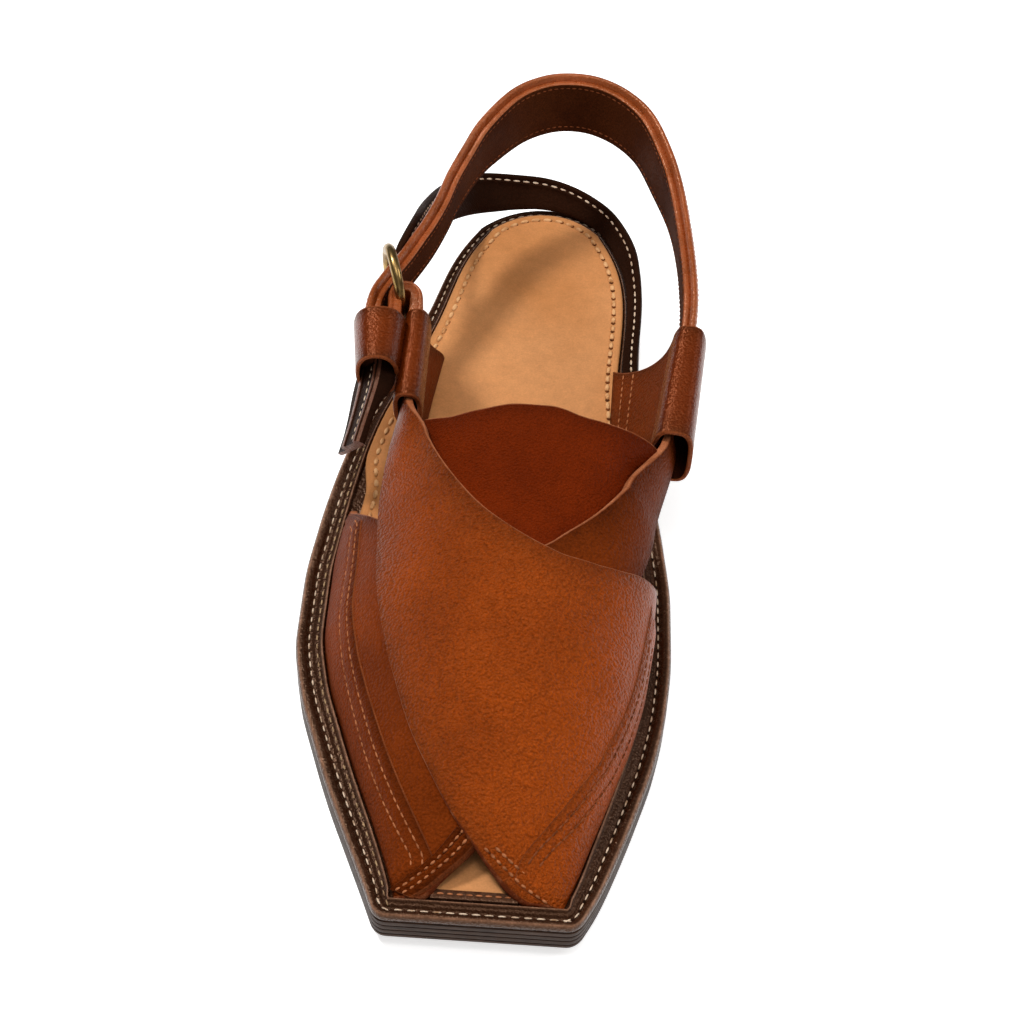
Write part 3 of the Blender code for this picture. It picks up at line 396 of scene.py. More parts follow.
def stitch_tree():
    """Geometry Nodes: one rounded stitch for every pitch along each line, laid along it and flat on the
    surface below it."""
    tree = bpy.data.node_groups.new("stitch row", "GeometryNodeTree")
    tree.interface.new_socket("Geometry", in_out="OUTPUT", socket_type="NodeSocketGeometry")
    sockets = {"Line": "Geometry", "Pitch": "Float", "Start": "Float", "Length": "Float", "Width": "Float",
               "Height": "Float", "Unevenness": "Float", "Seed": "Int", "Thread": "Material"}
    for label, kind in sockets.items():
        tree.interface.new_socket(label, in_out="INPUT", socket_type="NodeSocket" + kind)
    given = add(tree, "NodeGroupInput").outputs
    curve = add(tree, "GeometryNodeMeshToCurve", {"Mesh": given["Line"]})
    cut = add(tree, "GeometryNodeTrimCurve", {"Curve": curve.outputs[0]}, mode="LENGTH")
    starts = [s for s in cut.inputs if s.name == "Start"]
    ends = [s for s in cut.inputs if s.name == "End"]
    tree.links.new(given["Start"], starts[-1])
    ends[-1].default_value = 100.0
    spread = add(tree, "GeometryNodeResampleCurve", {"Curve": cut.outputs[0], "Length": given["Pitch"]},
                 mode="LENGTH")
    ball = add(tree, "GeometryNodeMeshUVSphere", {"Segments": 8, "Rings": 6, "Radius": 1.0})
    size = add(tree, "ShaderNodeCombineXYZ",
               {"X": given["Length"], "Y": given["Width"], "Z": given["Height"]})
    half = add(tree, "ShaderNodeVectorMath", {0: size.outputs[0], "Scale": 0.5}, operation="SCALE")
    smooth = add(tree, "GeometryNodeSetShadeSmooth", {"Geometry": ball.outputs[0]})
    stitch = add(tree, "GeometryNodeTransform", {"Geometry": smooth.outputs[0], "Scale": half.outputs[0]})
    tangent = add(tree, "GeometryNodeInputTangent")
    facing = add(tree, "GeometryNodeInputNamedAttribute", {"Name": "up"}, data_type="FLOAT_VECTOR")
    lie = add(tree, "FunctionNodeAlignRotationToVector", {"Vector": tangent.outputs[0]}, axis="X")
    stand = add(tree, "FunctionNodeAlignRotationToVector",
                {"Rotation": lie.outputs[0], "Vector": facing.outputs[0]}, axis="Z", pivot_axis="X")
    low = add(tree, "ShaderNodeMath", {0: 1.0, 1: given["Unevenness"]}, operation="SUBTRACT")
    high = add(tree, "ShaderNodeMath", {0: 1.0, 1: given["Unevenness"]}, operation="ADD")
    vary = add(tree, "FunctionNodeRandomValue", data_type="FLOAT_VECTOR")
    for socket, source in (("Min", low.outputs[0]), ("Max", high.outputs[0]), ("Seed", given["Seed"])):
        tree.links.new(source, next(s for s in vary.inputs if s.name == socket and s.enabled))
    lay = add(tree, "GeometryNodeInstanceOnPoints",
              {"Points": spread.outputs[0], "Instance": stitch.outputs[0], "Rotation": stand.outputs[0],
               "Scale": next(s for s in vary.outputs if s.enabled)})
    real = add(tree, "GeometryNodeRealizeInstances", {"Geometry": lay.outputs[0]})
    finished = add(tree, "GeometryNodeSetMaterial",
                   {"Geometry": real.outputs[0], "Material": given["Thread"]})
    add(tree, "NodeGroupOutput", {"Geometry": finished.outputs[0]})
    return tree


STITCH_ROW = stitch_tree()
UPWARD = np.array((0.0, 0.0, 1.0))


def stitches(name, lines, thread_kind, pitch, size, seed, start=0.0):
    """Rows of stitches as one plain mesh. `lines` are (places, upward directions), and `size` is a stitch's
    length, width and height, all in millimetres."""
    points, edges, ups = [], [], []
    for places, up in lines:
        first = len(points)
        points += ((np.asarray(places) - MIDDLE) * MM).tolist()
        ups += unit(np.broadcast_to(up, np.shape(places))).tolist()
        edges += [(first + i, first + i + 1) for i in range(len(places) - 1)]
    mesh = bpy.data.meshes.new(name)
    mesh.from_pydata(points, edges, [])
    facing = mesh.attributes.new("up", "FLOAT_VECTOR", "POINT")
    facing.data.foreach_set("vector", np.ravel(ups).astype(np.float32))
    guide = bpy.data.objects.new(name + "_line", mesh)
    bpy.context.scene.collection.objects.link(guide)
    modifier = guide.modifiers.new("stitch row", "NODES")
    modifier.node_group = STITCH_ROW
    length, width, height = size
    given = {"Pitch": pitch * MM, "Start": start * MM, "Length": length * MM, "Width": width * MM,
             "Height": height * MM, "Unevenness": 0.1, "Seed": seed, "Thread": thread_kind}
    for socket in STITCH_ROW.interface.items_tree:
        if socket.in_out == "INPUT" and socket.name in given:
            modifier[socket.identifier] = given[socket.name]
    guide.update_tag()
    baked = bpy.data.meshes.new_from_object(guide.evaluated_get(bpy.context.evaluated_depsgraph_get()))
    guide.modifiers.clear()
    bpy.data.objects.remove(guide)
    baked.name = name
    row = bpy.data.objects.new(name, baked)
    bpy.context.scene.collection.objects.link(row)
    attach(row, "root")


def sewn(name, ending, lines, kinds, pitch, stitch, hole, seed):
    """A seam: its stitches, and dark marks of painted shade for its needle holes half a pitch further on.
    `kinds` are (thread, hole).
    """
    stitches(f"{name}_stitches{ending}", lines, kinds[0], pitch, stitch, seed=seed)
    stitches(f"{name}_holes{ending}", lines, kinds[1], pitch, hole, start=pitch / 2, seed=seed + 1)


def round_the_rim(inset, height):
    """A closed line round the welt at one inset."""
    place, normal, rim = outline_loop()
    p = place - normal * (inset * rim[:, None] / FULL_RIM)
    loop = np.column_stack([p, sole_height(p[:, 1]) + height])
    return np.concatenate([loop, loop[:1]])


cream_thread = thread("cream waxed linen thread", "#ead0b4", "#a8805c")
brown_thread = thread("brown waxed linen thread", "#c0a078", "#7d5c40")
# Needle holes: no thread there; their dark marks are painted shade for the holes' shaded inside.
needle_hole_shade = thread("painted shade for needle holes in leather", "#241107", "#120703")

WELT_PITCH = 3.4
outer_row = round_the_rim(3.95, 10.15)
sewn("welt", "_outer", [(outer_row, UPWARD)], (cream_thread, needle_hole_shade), WELT_PITCH,
     stitch=(2.4, 0.5, 0.5), hole=(0.8, 0.7, 0.28), seed=3)
inner_row = round_the_rim(6.3, 11.1)
lateral_part = inner_row[(inner_row[:, 0] < -10) & (inner_row[:, 1] < 20)]
stitches("welt_stitches_inner", [(lateral_part, UPWARD)], brown_thread, WELT_PITCH,
         (2.1, 0.45, 0.45), seed=5)

# ================================================================ footbed
# The insole: one piece of undyed vegetable-tanned leather, smooth side up, cemented on the sole and sewn near
# its edge with thick tan thread; its large holes are dark marks of painted shade.
INSOLE_BOTTOM, INSOLE_TOP, INSOLE_FRONT_Y = 10.85, 12.9, -138.2
# Stations behind which the insole keeps close to the rim, is sewn, and is pressed down by its stitches.
CLOSE_TO_RIM_Y, SEWN_FROM_Y, PRESSED_FROM_Y = 17.0, -60.0, -62.0
INSOLE_INSET = table(
    "y more",
    [(-138.2, 9.4), (-134.0, 7.4), (-129.0, 5.6), (-122.0, 4.6), (-110.0, 3.8), (0.0, 3.8), (16.0, 0.5),
     (95.0, 0.5)],
)


def inset_x(side, y, inset):
    """X of the outline moved in by `inset`, on one side."""
    slope = (along(OUTLINE, "y", side, y + 1) - along(OUTLINE, "y", side, y - 1)) / 2
    inward = 1 if side == "lateral" else -1
    return along(OUTLINE, "y", side, y) + inward * inset * np.sqrt(1 + slope * slope)


def insole_top(y):
    """The insole's top, a little lower under the toe, where the straps come down to the sole."""
    return INSOLE_TOP - 1.1 * ease((-122 - y) / 14)


def insole_loop(extra):
    """The insole's edge, medial side first, moved in by `extra`."""
    place, normal, rim = outline_loop()
    heel = (place - normal * (rim[:, None] + 0.5 + extra))[place[:, 1] > CLOSE_TO_RIM_Y]
    halves = []
    for side in ("medial", "lateral"):
        y = np.concatenate([np.arange(INSOLE_FRONT_Y, -128, 1.3), np.arange(-128, 16, 2.2)])
        more = along(OUTLINE, "y", "rim_" + side, y) + along(INSOLE_INSET, "y", "more", y)
        halves.append(np.stack([inset_x(side, y, more + extra), np.maximum(y, INSOLE_FRONT_Y + extra)], 1))
    return np.concatenate([halves[0], heel, halves[1][::-1]])


# Undyed vegetable-tanned leather, only oiled: warm tan and matt, with darker growth marks. Near its edge it
# darkens, partly from handling and partly as painted shade where it meets the rim and the wings, and along
# its stitch row the darkening is painted shade in the groove.
footbed_leather = leather(
    "footbed leather, natural vegetable tan", ("#d4935e", "#c98650", "#9a673b"), grain_mm=0.7, broad_mm=45,
    shine=(0.50, 0.66), relief=0.1, wear_and_light_weight=0.5, gloss=0.15, speck_and_grain_light=0.05,
)

# Rows (moved in, under the top or nothing for the bottom, pressed down with the stitches, darkened): darker
# near the edge, partly handling and partly painted shade, and painted shade in the groove of the stitch row.
FOOTBED_ROWS = [
    (0.0, None, 0, 1.0), (0.0, 0.7, 0, 1.0), (0.12, 0.35, 0, 0.9), (0.4, 0.1, 0, 0.7),
    (0.9, 0.0, 0, 0.3), (2.0, 0.0, 0, 0.1), (2.5, 0.0, 0.12, 0.45), (3.1, 0.0, 0.3, 0.8),
    (3.7, 0.0, 0.12, 0.45), (4.2, 0.0, 0, 0.0),
]
loops, wear_and_painted_light = [], []
for extra, drop, pressed, dark in FOOTBED_ROWS:
    loop = insole_loop(extra)
    y = loop[:, 1]
    behind = ease((y - PRESSED_FROM_Y) / 6)
    high = sole_height(y) + (INSOLE_BOTTOM if drop is None else insole_top(y) - drop)
    loops.append(np.column_stack([loop, high - pressed * behind]))
    wear_and_painted_light.append(dark * behind if extra > 1 else np.full(len(y), dark))
footbed = stacked("footbed", loops, [footbed_leather], {"wear_and_painted_light": np.concatenate(wear_and_painted_light)})
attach(footbed, "root")
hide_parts("insole")

tan_thread = thread("tan waxed linen thread", "#e8b27c", "#b87a46")
# Dark marks of painted shade for the footbed's needle holes.
painted_hole_shade = thread("painted shade for needle holes in footbed leather", "#7a4422", "#4c2812")
loop = insole_loop(3.1)
row = np.column_stack([loop, sole_height(loop[:, 1]) + insole_top(loop[:, 1]) - 0.1])
row = row[row[:, 1] > SEWN_FROM_Y]
sewn("footbed", "", [(row, UPWARD)], (tan_thread, painted_hole_shade), 4.1,
     stitch=(3.2, 1.5, 1.3), hole=(1.2, 1.6, 0.5), seed=7)

# ================================================================ under strap
# The first of the two broad straps that cross over the forefoot: a panel of cognac bridle leather, about
# 2.4 mm thick, from the medial sleeve over the foot to the lateral edge, where it is lasted into the sole.
SHELF_TOP = 10.55
STRAP_THICK = 2.4
ROUND_MM = 0.22  # how far a cut edge bulges
LAST = table(
    "y height lean square_lateral square_medial",
    [
        (-141.0, 1.7, 0.05, 2.0, 2.0), (-137.0, 4.6, 0.08, 2.0, 2.0), (-130.0, 7.8, 0.10, 2.0, 2.0),
        (-115.0, 15.2, 0.14, 2.0, 2.0), (-100.0, 22.5, 0.17, 2.0, 2.0), (-80.0, 30.5, 0.20, 2.0, 2.1),
        (-60.0, 36.5, 0.20, 2.1, 2.2), (-40.0, 42.0, 0.20, 2.1, 2.5), (-20.0, 46.5, 0.20, 2.2, 2.9),
        (0.0, 49.5, 0.19, 2.2, 3.0), (20.0, 52.0, 0.19, 2.2, 3.0),
    ],
)


def section(y, inset):
    """Sections across the foot, one row a station: x, z, share of the length so far, and the length."""
    y, inset = np.broadcast_arrays(y, inset)
    left = inset_x("lateral", y, along(OUTLINE, "y", "rim_lateral", y) + GAP + inset)[:, None]
    right = inset_x("medial", y, along(OUTLINE, "y", "rim_medial", y) + GAP + inset)[:, None]
    height = (along(LAST, "y", "height", y) - inset)[:, None]
    lean = along(LAST, "y", "lean", y)[:, None]
    centre, base = (left + right) / 2, (sole_height(y) + SHELF_TOP + GAP)[:, None]
    angle = np.linspace(-math.pi / 2, math.pi / 2, 129)[None]
    lateral = angle < 0
    square = [along(LAST, "y", "square_" + side, y)[:, None] for side in ("lateral", "medial")]
    power = 2 / np.where(lateral, *square)
    across = np.where(lateral, centre - left, right - centre)
    up = height * np.maximum(np.cos(angle), 0.0) ** power
    x = centre + np.sign(angle) * np.abs(np.sin(angle)) ** power * across + lean * up
    z = base + up
    run = np.hypot(np.diff(x), np.diff(z)).cumsum(1)
    length = run[:, -1]
    return x, z, np.concatenate([np.zeros((len(y), 1)), run / length[:, None]], 1), length


def over_foot(y, u, inset=0.0):
    """Places on the upper: `u` runs from 0 at the lateral base to 1 at the medial base."""
    y, u, inset = (a.ravel() for a in np.broadcast_arrays(y, u, inset))
    x, z, share, _ = section(y, inset)
    i = np.clip((share <= u[:, None]).sum(1) - 1, 0, share.shape[1] - 2)
    k = np.arange(len(y))
    t = (u - share[k, i]) / np.maximum(share[k, i + 1] - share[k, i], 1e-9)
    return np.stack([x[k, i] + (x[k, i + 1] - x[k, i]) * t, y, z[k, i] + (z[k, i + 1] - z[k, i]) * t], 1)


def near_base(u):
    """1 away from the base line and 0 on it, so that every layer comes down onto the sole at one line."""
    return ease(np.minimum(u, 1 - u) / 0.05)


def skive(y):
    """The share of a strap's thickness that is left where the leather is thinned for the toe."""
    return 0.55 + 0.45 * ease((y + 138) / 30)


def sheet(name, outer, inner, materials, edge_mm=6.0, bevel_mm=0.45, burnish=0.0):
    """A closed sheet of leather between two grids of places, with a bevelled and rounded cut edge. The first
    materials are (face, cut edge, back), and its face takes the darker edge colour within about `edge_mm` of
    the edge and by the share `burnish` all over: partly antiquing, and partly painted shade where the sheets
    meet and run under one another."""
    outer, inner = np.array(outer, float), np.array(inner, float)
    rows, cols = outer.shape[:2]
    border = [(0, c) for c in range(cols)] + [(r, cols - 1) for r in range(1, rows)]
    border += [(rows - 1, c) for c in range(cols - 2, -1, -1)] + [(r, 0) for r in range(rows - 2, 0, -1)]
    r, c = np.array(border).T
    inside = (np.clip(r, 1, rows - 2), np.clip(c, 1, cols - 2))
    out = unit(outer[r, c] - outer[inside])
    rim = [outer[r, c] * (1 - t) + inner[r, c] * t + out * ROUND_MM * push
           for t, push in ((0.16, 0.7), (0.5, 1.0), (0.88, 0.7))]
    outer[r, c] -= out * bevel_mm
    back, edge = rows * cols, 2 * rows * cols
    faces = strips(rows, cols, around=False)
    front_count = len(faces)
    faces += [f[::-1] for f in strips(rows, cols, around=False, first=back)]
    around = len(border)
    flat = r * cols + c
    chain = [flat] + [edge + k * around + np.arange(around) for k in range(3)] + [back + flat]
    for a, b in zip(chain, chain[1:]):
        faces += np.stack([a, b, np.roll(b, -1), np.roll(a, -1)], 1).tolist()
    kinds = [0] * front_count + [2] * front_count + [1] * (4 * around)
    down = np.linalg.norm(np.diff(outer, axis=0), axis=-1).cumsum(0)
    over = np.linalg.norm(np.diff(outer, axis=1), axis=-1).cumsum(1)
    down = np.concatenate([np.zeros((1, cols)), down])
    over = np.concatenate([np.zeros((rows, 1)), over], 1)
    near = np.minimum(np.minimum(down, down[-1:] - down), np.minimum(over, over[:, -1:] - over))
    wear_and_painted_light = np.clip(np.exp(-near / edge_mm) + burnish, 0, 1)
    # At the toe the cut edge is dyed dark again.
    dyed = np.tile(ease((-104 - outer[r, c, 1]) / 16), 3)
    wear_and_painted_light = np.concatenate([wear_and_painted_light.ravel(), wear_and_painted_light.ravel(), dyed])
    points = np.concatenate([outer.reshape(-1, 3), inner.reshape(-1, 3)] + rim)
    return piece(name, points, faces, materials, kinds, {"wear_and_painted_light": wear_and_painted_light}, sharp=50)


# Bridle leather, drum-dyed cognac, hand-antiqued and waxed: warm and half glossy, and darker towards its
# edges, partly from the antiquing and partly as painted shade where the straps meet and overlap.
strap_leather = leather(
    "bridle leather, cognac, antiqued and waxed", ("#983e08", "#7e3006", "#4a1a05"), grain_mm=0.85,
    broad_mm=38, shine=(0.28, 0.40), relief=0.9, wear_and_light_weight=0.6, gloss=0.46, gloss_hex="#ffa058", speck_and_grain_light=0.22,
)
# The same leather, matt where it was pulled hard over the last, in a darker colour that is painted shade on
# the under strap, the lateral overlay, the toe hem and the wings' flaps.
shaded_flank_leather = leather(
    "bridle leather, cognac, matt, darkened as painted shade", ("#7e340b", "#6a2a08", "#381405"), grain_mm=0.85,
    broad_mm=38, shine=(0.46, 0.6), relief=0.7, gloss=0.1, gloss_hex="#ff8c50", speck_and_grain_light=0.16,
)
# Its cut edges are dyed but not pigmented, so they are paler and pinker than the face.
cut_edge = leather(
    "cut edge of bridle leather, dyed", ("#b56f4a", "#9a5836", "#5c2610"), grain_mm=0.5, broad_mm=6,
    shine=(0.5, 0.65), wear_and_light_weight=1.0, gloss=0.15,
)
# The backs are flesh side, glued with thin dark goat lining.
dark_lining = leather(
    "goat lining, dark brown", ("#4a2410", "#3a190a", "#2a1208"), grain_mm=0.6, broad_mm=20,
    shine=(0.6, 0.75), relief=0.2, gloss=0.05,
)

UNDER = table(
    "share front_y front_u rear_y rear_u",
    [
        (0.00, -4.0, 0.870, -8.0, 0.790), (0.08, -18.0, 0.850, -15.4, 0.745),
        (0.17, -31.0, 0.830, -22.8, 0.716), (0.25, -45.0, 0.805, -33.2, 0.668),
        (0.33, -62.0, 0.760, -40.5, 0.621), (0.41, -80.0, 0.710, -46.5, 0.570),
        (0.49, -97.0, 0.650, -48.5, 0.500), (0.57, -112.0, 0.580, -47.5, 0.420),
        (0.65, -121.5, 0.525, -43.0, 0.335), (0.74, -128.1, 0.463, -36.0, 0.260),
        (0.81, -132.4, 0.380, -28.0, 0.200), (0.88, -136.7, 0.280, -20.0, 0.130),
        (0.94, -141.0, 0.150, -12.0, 0.060), (1.00, -141.0, 0.000, -4.0, 0.000),
    ],
)
UNDER_END = ((50.6, 9.0, 37.0), (48.4, 8.0, 48.0))


def between(rows, key, at, first, last, across):
    """A value mixed from one edge's column of a table to the other's."""
    return along(rows, key, first, at) * (1 - across) + along(rows, key, last, at) * across


def strap_grid(edges, depth, end, shift, blend, rows=150, cols=46):
    """One face of a strap, `depth` under the upper's surface, from its sleeve to its base and from its front
    edge to its rear. Near its sleeve it turns on edge, over the share `blend` of its length, to end between
    the two places of `end`, moved aside by `shift`."""
    share, across = np.linspace(0, 1, rows)[:, None], np.linspace(0, 1, cols)[None]
    bend = across * (0.4 + 0.6 * across)
    y, u = (between(edges, "share", share, "front_" + k, "rear_" + k, bend) for k in "yu")
    grid = over_foot(y, u, depth(y, u)).reshape(rows, cols, 3)
    share, across = share[..., None], across[..., None]
    t = np.clip(share / blend, 0, 1)
    turn = ease(t**1.5)
    stop = np.array(end[0]) * (1 - across) + np.array(end[1]) * across + np.array((shift, 0.0, 0.0))
    weight = np.concatenate([turn, t, turn], 2)
    return stop * (1 - weight) + grid * weight


under_strap = sheet(
    "under_strap",
    strap_grid(UNDER, lambda y, u: 0.0, UNDER_END, STRAP_THICK / 2, 0.16),
    strap_grid(UNDER, lambda y, u: STRAP_THICK * skive(y), UNDER_END, -STRAP_THICK / 2, 0.16),
    [shaded_flank_leather, cut_edge, dark_lining],
)
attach(under_strap, "root")
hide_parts("upper")

# ================================================================ over strap
# The second strap, of the same leather, crosses on top from the lateral sleeve to the medial edge. Walking
# has left a few soft creases across it where the toes bend.
OVER_THICK, EMBED = 2.0, 0.7
OVER = table(
    "share front_y front_u rear_y rear_u",
    [
        (0.00, 11.0, 0.226, 8.0, 0.261), (0.08, -8.0, 0.219, -3.0, 0.295),
        (0.17, -32.0, 0.221, -15.8, 0.339), (0.25, -56.0, 0.233, -27.0, 0.390),
        (0.33, -78.0, 0.243, -36.0, 0.445), (0.41, -96.0, 0.268, -43.0, 0.512),
        (0.49, -109.5, 0.312, -47.5, 0.577), (0.57, -120.0, 0.368, -49.5, 0.625),
        (0.65, -128.5, 0.457, -49.9, 0.680), (0.74, -134.0, 0.545, -49.0, 0.730),
        (0.83, -138.3, 0.660, -46.5, 0.785), (0.91, -141.0, 0.810, -42.0, 0.870),
        (1.00, -141.0, 1.000, -34.0, 1.000),
    ],
)
OVER_END = ((-31.3, 19.0, 42.0), (-29.9, 15.2, 48.6))
OVER_SIZE = {"blend": 0.12, "rows": 190, "cols": 60}
# The under strap's front edge, off which the over strap steps down. Its last row lies on the base line.
UNDER_FRONT = table("y u", sorted(zip(UNDER["front_y"][:-1], UNDER["front_u"][:-1])))
# Each crease: where it lies at the lateral and the medial flank, its depth (a ridge is negative), its half
# width, the middle of its length as a share across the foot, and how far it reaches.
CREASES = [
    (-40.0, -62.0, 0.40, 6.0, 0.62, 0.16), (-50.0, -74.0, -0.30, 5.0, 0.58, 0.18),
    (-60.0, -84.0, 0.38, 4.5, 0.55, 0.20), (-69.0, -92.0, -0.25, 4.5, 0.56, 0.18),
    (-78.0, -101.0, 0.28, 4.0, 0.60, 0.15), (-96.0, -118.0, 0.22, 4.0, 0.62, 0.10),
]


def creases(y, u):
    """How deep the soft troughs and ridges are, in millimetres."""
    total = 0.0 * y
    for lateral_y, medial_y, depth, half, middle, reach in CREASES:
        line = lateral_y + (medial_y - lateral_y) * (u - 0.3) / 0.4
        total = total + depth * np.exp(-(((y - line) / half) ** 2) - ((u - middle) / reach) ** 2)
    return total


def lift(y, u):
    """How far the over strap stands off the upper's surface: full where it rides on the under strap."""
    past = u - along(UNDER_FRONT, "y", "u", y)
    return OVER_THICK * (1 - ease((past + 0.15) / 0.60)) * near_base(u)


def over_face(y, u):
    """How far the over strap's face lies under the upper's surface."""
    return creases(y, u) - lift(y, u)


def over_back(y, u):
    """How far its back lies under the upper's surface, a little inside the under strap."""
    return creases(y, u) + (OVER_THICK + EMBED) * skive(y) - lift(y, u)


over_strap = sheet(
    "over_strap",
    strap_grid(OVER, over_face, OVER_END, -STRAP_THICK / 2, **OVER_SIZE),
    strap_grid(OVER, over_back, OVER_END, STRAP_THICK / 2, **OVER_SIZE),
    [strap_leather, cut_edge, dark_lining],
)
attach(over_strap, "root")
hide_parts("upper")

# ================================================================ side overlays and toe hem
# A second layer of the same leather along each side, from the sole to a folded inner edge, sewn down with two
# rows of chunky brown thread. At the toe the under strap's edge is folded back as a hem with two more rows.
OVERLAY_STEP = 0.9
OVERLAY_STATIONS, EDGE_COLS, BASE_COLS, ROW_STATIONS = 150, 26, 8, 160
OVERLAY_LATERAL = table(
    "y u",
    [(-138.5, 0.040), (-135.0, 0.160), (-131.8, 0.262), (-127.0, 0.245), (-123.0, 0.229), (-114.0, 0.200),
     (-105.0, 0.182), (-94.0, 0.166), (-80.0, 0.152), (-60.0, 0.149), (-40.0, 0.153), (-25.0, 0.152),
     (-22.0, 0.134), (-12.0, 0.054), (-6.0, 0.010)],
)
OVERLAY_MEDIAL = table(
    "y u",
    [(-141.4, 0.960), (-138.6, 0.775), (-135.6, 0.668), (-131.0, 0.672), (-127.6, 0.694), (-122.0, 0.740),
     (-115.5, 0.779), (-108.0, 0.811), (-100.0, 0.838), (-85.0, 0.852), (-67.0, 0.857), (-50.0, 0.850)],
)
# How far from the folded edge the two stitch rows run, by station.
ROW_OFFSETS = table(
    "y inner outer",
    [(-141.0, 1.4, 4.2), (-128.0, 2.4, 5.6), (-112.0, 3.0, 6.6), (-95.0, 3.2, 7.0), (-70.0, 2.6, 6.4),
     (-48.0, 1.8, 5.4), (-20.0, 1.6, 4.6)],
)
# Folded and skived edges, dyed with the leather.
dyed_edge = leather(
    "folded edge of bridle leather, dyed", ("#8f4a26", "#7c3c1c", "#5a2810"), grain_mm=0.6, broad_mm=8,
    shine=(0.45, 0.6), relief=0.4, gloss=0.2,
)
sewing_thread = thread("chestnut polyester-core thread", "#b8734a", "#7c4426")
dark_thread = thread("dark brown polyester-core thread", "#8a4a2a", "#56290f")


def overlay(rows, base_u, lifted):
    """The two faces of one overlay, with columns from its folded edge to the sole, closer together near the
    edge, where its stitches pull it in."""
    y = np.linspace(rows["y"][0], rows["y"][-1], OVERLAY_STATIONS)
    edge = along(rows, "y", "u", y)
    length = section(y, 0.0)[3]
    room = np.abs(edge - base_u) * length
    near = np.linspace(0, 1, EDGE_COLS)[None] * np.minimum(12.0, room * 0.75)[:, None]
    far = near[:, -1:] + (room[:, None] - near[:, -1:]) * np.linspace(0, 1, BASE_COLS + 1)[None, 1:]
    distance = np.concatenate([near, far], 1)
    side = 1 if base_u > 0.5 else -1
    u = edge[:, None] + side * distance / length[:, None]
    y = np.broadcast_to(y[:, None], u.shape)
    groove = 0.0
    for column in ("inner", "outer"):
        groove = groove + 0.24 * np.exp(-(((distance - along(ROW_OFFSETS, "y", column, y)) / 0.7) ** 2))
    puff = 0.08 * np.exp(-(((distance - 0.9) / 0.7) ** 2))
    up = lift(y, u) if lifted else 0.0
    ends = np.minimum(np.abs(y - rows["y"][0]), np.abs(y - rows["y"][-1]))
    skived = (0.3 if side < 0 else 0.12) + 0.7 * ease(distance / 2.2) * ease(ends / 3.0)
    outer = over_foot(y, u, -(OVERLAY_STEP * skived + puff - groove) * near_base(u) - up).reshape(*u.shape, 3)
    inner = over_foot(y, u, 0.8 - up).reshape(*u.shape, 3)
    return outer, inner


def seam(y, u, depth, up=0.0):
    """A line at `depth` under the upper's surface, lifted by `up`, with its upward directions."""
    high, low = over_foot(y, u, depth - up), over_foot(y, u, 1.0 - up)
    return high, unit(high - low)


def overlay_rows(rows, base_u, lifted, first_y, last_y):
    """The two stitch rows of one overlay."""
    lines = []
    y = np.linspace(max(first_y, rows["y"][0]), last_y, ROW_STATIONS)
    edge, length = along(rows, "y", "u", y), section(y, 0.0)[3]
    for column in ("inner", "outer"):
        u = edge + (1 if base_u > 0.5 else -1) * along(ROW_OFFSETS, "y", column, y) / length
        keep = (u > 0.012) & (u < 0.988)
        up = lift(y[keep], u[keep]) if lifted else 0.0
        lines.append(seam(y[keep], u[keep], 0.3 - OVERLAY_STEP, up))
    return lines


for side, rows, base_u, face, row_thread, first_y, last_y in (
    ("lateral", OVERLAY_LATERAL, 0.0, shaded_flank_leather, sewing_thread, -132.5, -23.0),
    ("medial", OVERLAY_MEDIAL, 1.0, strap_leather, dark_thread, -131.0, -60.0),
):
    on_over_strap = side == "medial"
    panel = sheet(side + "_overlay", *overlay(rows, base_u, on_over_strap), [face, dyed_edge, dark_lining],
                  edge_mm=3.0, bevel_mm=0.15)
    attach(panel, "root")
    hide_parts("upper")
    lines = overlay_rows(rows, base_u, on_over_strap, first_y, last_y)
    sewn(side + "_overlay", "", lines, (row_thread, painted_hole_shade), 2.5,
         stitch=(2.05, 0.6, 0.5), hole=(0.5, 0.6, 0.25), seed=11)

TOE_HEM = table(
    "share free_y free_u inner_y inner_u",
    [(0.0, -126.6, 0.478, -123.6, 0.385), (0.3, -131.2, 0.406, -128.4, 0.310),
     (0.6, -135.4, 0.314, -132.6, 0.225), (0.85, -139.2, 0.205, -136.4, 0.110),
     (1.0, -141.2, 0.115, -138.7, 0.018)],
)
HEM_STATIONS, HEM_COLS, HEM_PITCH = 60, 26, 2.1


def hem_places(share, across):
    """Stations and shares over the toe hem, from its free edge to its inner one."""
    return (between(TOE_HEM, "share", share, "free_" + k, "inner_" + k, across) for k in "yu")


share, across = np.linspace(0, 1, HEM_STATIONS)[:, None], np.linspace(0, 1, HEM_COLS)[None]
y, u = hem_places(share, across)
ribs = 0.45 * np.cos(across * 2 * math.pi * 3)
outer = over_foot(y, u, -(OVERLAY_STEP + 0.35 - ribs)).reshape(*y.shape, 3)
inner = over_foot(y, u, 1.1).reshape(*y.shape, 3)
toe_hem = sheet("toe_hem", outer, inner, [shaded_flank_leather, dyed_edge, dark_lining], edge_mm=3.0, bevel_mm=0.2,
                burnish=0.25)
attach(toe_hem, "root")
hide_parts("upper")
share = np.linspace(0.02, 0.97, HEM_STATIONS)
lines = [seam(*hem_places(share, across), -OVERLAY_STEP - 0.2) for across in (0.33, 0.67)]
sewn("toe_hem", "", lines, (sewing_thread, painted_hole_shade), HEM_PITCH,
     stitch=(1.6, 0.85, 0.7), hole=(0.55, 0.6, 0.25), seed=13)
